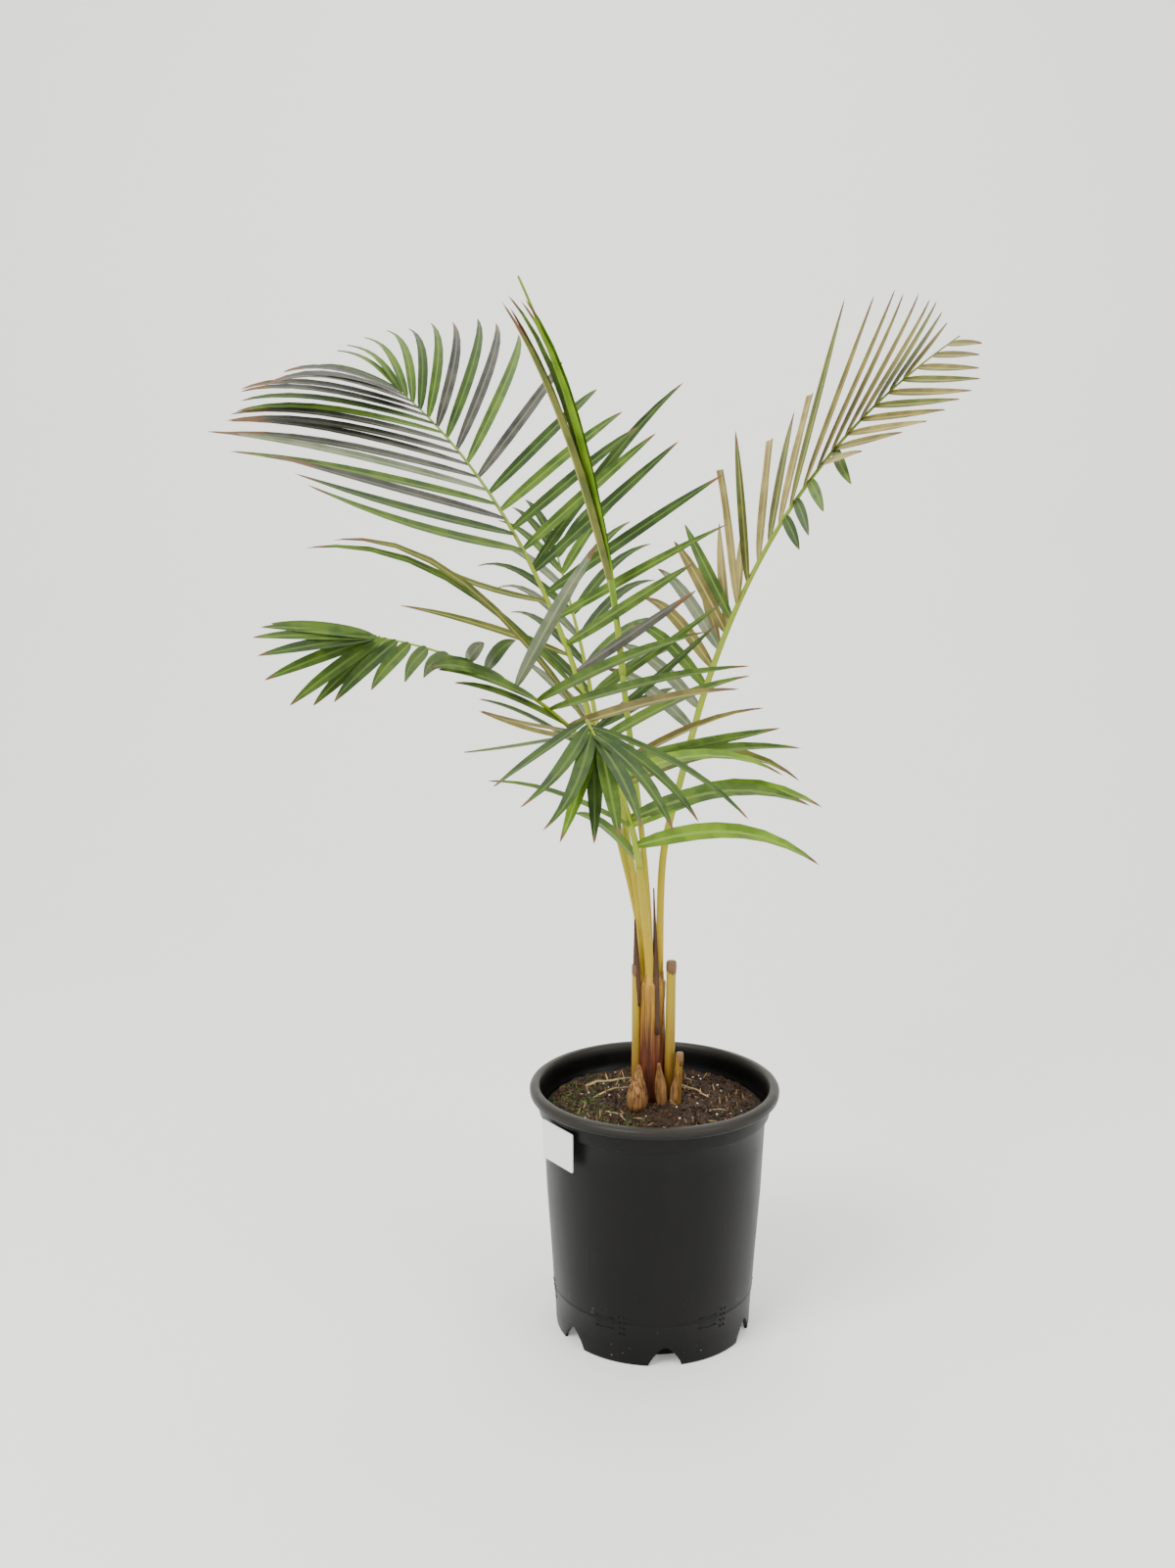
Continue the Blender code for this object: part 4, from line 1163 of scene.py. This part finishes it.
add_piece("pot_shell", cut_mesh, PLASTIC, ["pot"])

# %% [markdown]
# ## Ribs and dots on the pot
# Low on the wall the mould leaves a few short ribs and some small dots. They are tiny closed blocks
# that stand a little proud of the wall.

# %% Mould marks
WALL_POINTS = slice(17, 33)
MARK_DEPTH = 0.0006


def wall_radius(height):
    outer = PROFILE[WALL_POINTS]
    for (first, high), (second, low) in zip(outer, outer[1:]):
        if low <= height <= high:
            return second + (first - second) * (height - low) / max(high - low, 1e-9)
    return outer[0][0]


marks = bmesh.new()


def add_mark(turn, height, width, tall):
    radius = wall_radius(height)
    corners = []
    for distance in (radius - MARK_DEPTH, radius + MARK_DEPTH):
        for across, up in ((-1, -1), (1, -1), (1, 1), (-1, 1)):
            angle = turn + across * width / 2 / radius
            corners.append(marks.verts.new((distance * math.cos(angle), distance * math.sin(angle),
                                            height + up * tall / 2)))
    for face in ((0, 1, 2, 3), (4, 5, 6, 7), (0, 1, 5, 4), (1, 2, 6, 5), (2, 3, 7, 6), (3, 0, 4, 7)):
        marks.faces.new([corners[index] for index in face])


for place in range(6):
    centre = math.radians(-60.0 + place * 60.0)
    for step in range(3):
        add_mark(centre, 0.036 + step * 0.0055, 0.020, 0.0018)
    for row in range(4):
        for column in range(2):
            add_mark(centre + 0.16 + column * 0.045, 0.032 + row * 0.0062, 0.0016, 0.0016)
add_piece("pot_marks", mesh_of(marks, "pot_marks", False), PLASTIC)

# %% [markdown]
# ## The blank card
# A thin white card hangs flat against the collar. Its corners are slightly rounded.

# %% Card
CARD_TURN = math.radians(216.0)
CARD_WIDTH = 0.050
CARD_HEIGHT = 0.0395
CARD_TOP = 0.2392
CARD_THICKNESS = 0.0011
CARD_DISTANCE = 0.1188 + 0.0004 + GAP + CARD_THICKNESS / 2
card_body = bmesh.new()
bmesh.ops.create_cube(card_body, size=1.0)
bmesh.ops.scale(card_body, vec=(CARD_THICKNESS, CARD_WIDTH, CARD_HEIGHT), verts=card_body.verts)
upright = [edge for edge in card_body.edges
           if abs(edge.verts[0].co.x - edge.verts[1].co.x) > CARD_THICKNESS / 2]
bmesh.ops.bevel(card_body, geom=upright, offset=0.0012, segments=4, affect="EDGES", profile=0.5)
bmesh.ops.rotate(card_body, matrix=Quaternion((0, 0, 1), CARD_TURN).to_matrix(), verts=card_body.verts)
bmesh.ops.translate(card_body, vec=(CARD_DISTANCE * math.cos(CARD_TURN),
                                    CARD_DISTANCE * math.sin(CARD_TURN), CARD_TOP - CARD_HEIGHT / 2),
                    verts=card_body.verts)
add_piece("card", mesh_of(card_body, "card", False), CARD, ["tag"])

# %% [markdown]
# ## The studio
# A pale sweep runs from the floor up behind the plant, so no edge shows from the front. A large soft
# light stands over the left shoulder, a weaker one on the right and a third overhead. The pale
# surroundings fill the shade, and a faint glow keeps the sweep pale.

# %% Floor, light and camera
sweep = bmesh.new()
line = [(-4.0, 0.0), (1.2, 0.0)]
line += [(1.2 + 1.2 * math.sin(step * math.pi / 16), 1.2 - 1.2 * math.cos(step * math.pi / 16))
         for step in range(1, 9)]
line += [(2.4, 5.0)]
pairs = [(sweep.verts.new((-6.0, y, z)), sweep.verts.new((6.0, y, z))) for y, z in line]
for near, far in zip(pairs, pairs[1:]):
    sweep.faces.new((near[0], near[1], far[1], far[0]))
sweep_mesh = bpy.data.meshes.new("sweep")
for face in sweep.faces:
    face.smooth = True
sweep.to_mesh(sweep_mesh)
sweep.free()
paper = Finish("pale sweep", 0.95, 0.1)
tooth = paper.noise(3.0, 2.0)
sweep_mesh.materials.append(paper.wear(paper.mix(tooth, (0.89, 0.89, 0.86), (0.91, 0.91, 0.88))))
paper.shader.inputs["Emission Color"].default_value = (1.0, 1.0, 0.92, 1.0)
paper.shader.inputs["Emission Strength"].default_value = 0.20
floor = bpy.data.objects.new("sweep", sweep_mesh)
bpy.context.scene.collection.objects.link(floor)


def soft_light(name, place, aim, power, size):
    lamp = bpy.data.lights.new(name, "AREA")
    lamp.energy = power
    lamp.size = size
    holder = bpy.data.objects.new(name, lamp)
    holder.location = place
    holder.rotation_euler = (Vector(aim) - Vector(place)).to_track_quat("-Z", "Y").to_euler()
    bpy.context.scene.collection.objects.link(holder)


soft_light("key", (-1.6, -1.8, 2.6), (0.0, 0.0, 0.5), 105.0, 1.5)
soft_light("fill", (2.0, -1.6, 1.6), (0.0, 0.0, 0.5), 34.0, 1.8)
soft_light("top", (0.2, 0.6, 3.0), (0.0, 0.0, 0.4), 44.0, 2.2)
world = bpy.data.worlds.new("pale surroundings")
world.use_nodes = True
world.node_tree.nodes["Background"].inputs["Color"].default_value = (1.0, 1.0, 0.985, 1.0)
world.node_tree.nodes["Background"].inputs["Strength"].default_value = 0.85
bpy.context.scene.world = world

CAMERA_PLACE = (-0.068, -1.6, 0.877)
CAMERA_DIP = 0.1911
FOCAL_PIXELS = 1692.0
FRAME_HEIGHT = 1601.0
camera = bpy.data.cameras.new("camera")
camera.sensor_fit = "AUTO"
camera.sensor_width = 36.0
camera.lens = FOCAL_PIXELS / FRAME_HEIGHT * 36.0
eye = bpy.data.objects.new("camera", camera)
eye.location = CAMERA_PLACE
eye.rotation_euler = (math.pi / 2 - CAMERA_DIP, 0.0, 0.0)
bpy.context.scene.collection.objects.link(eye)
bpy.context.scene.camera = eye
print("camera lens", round(camera.lens, 2))
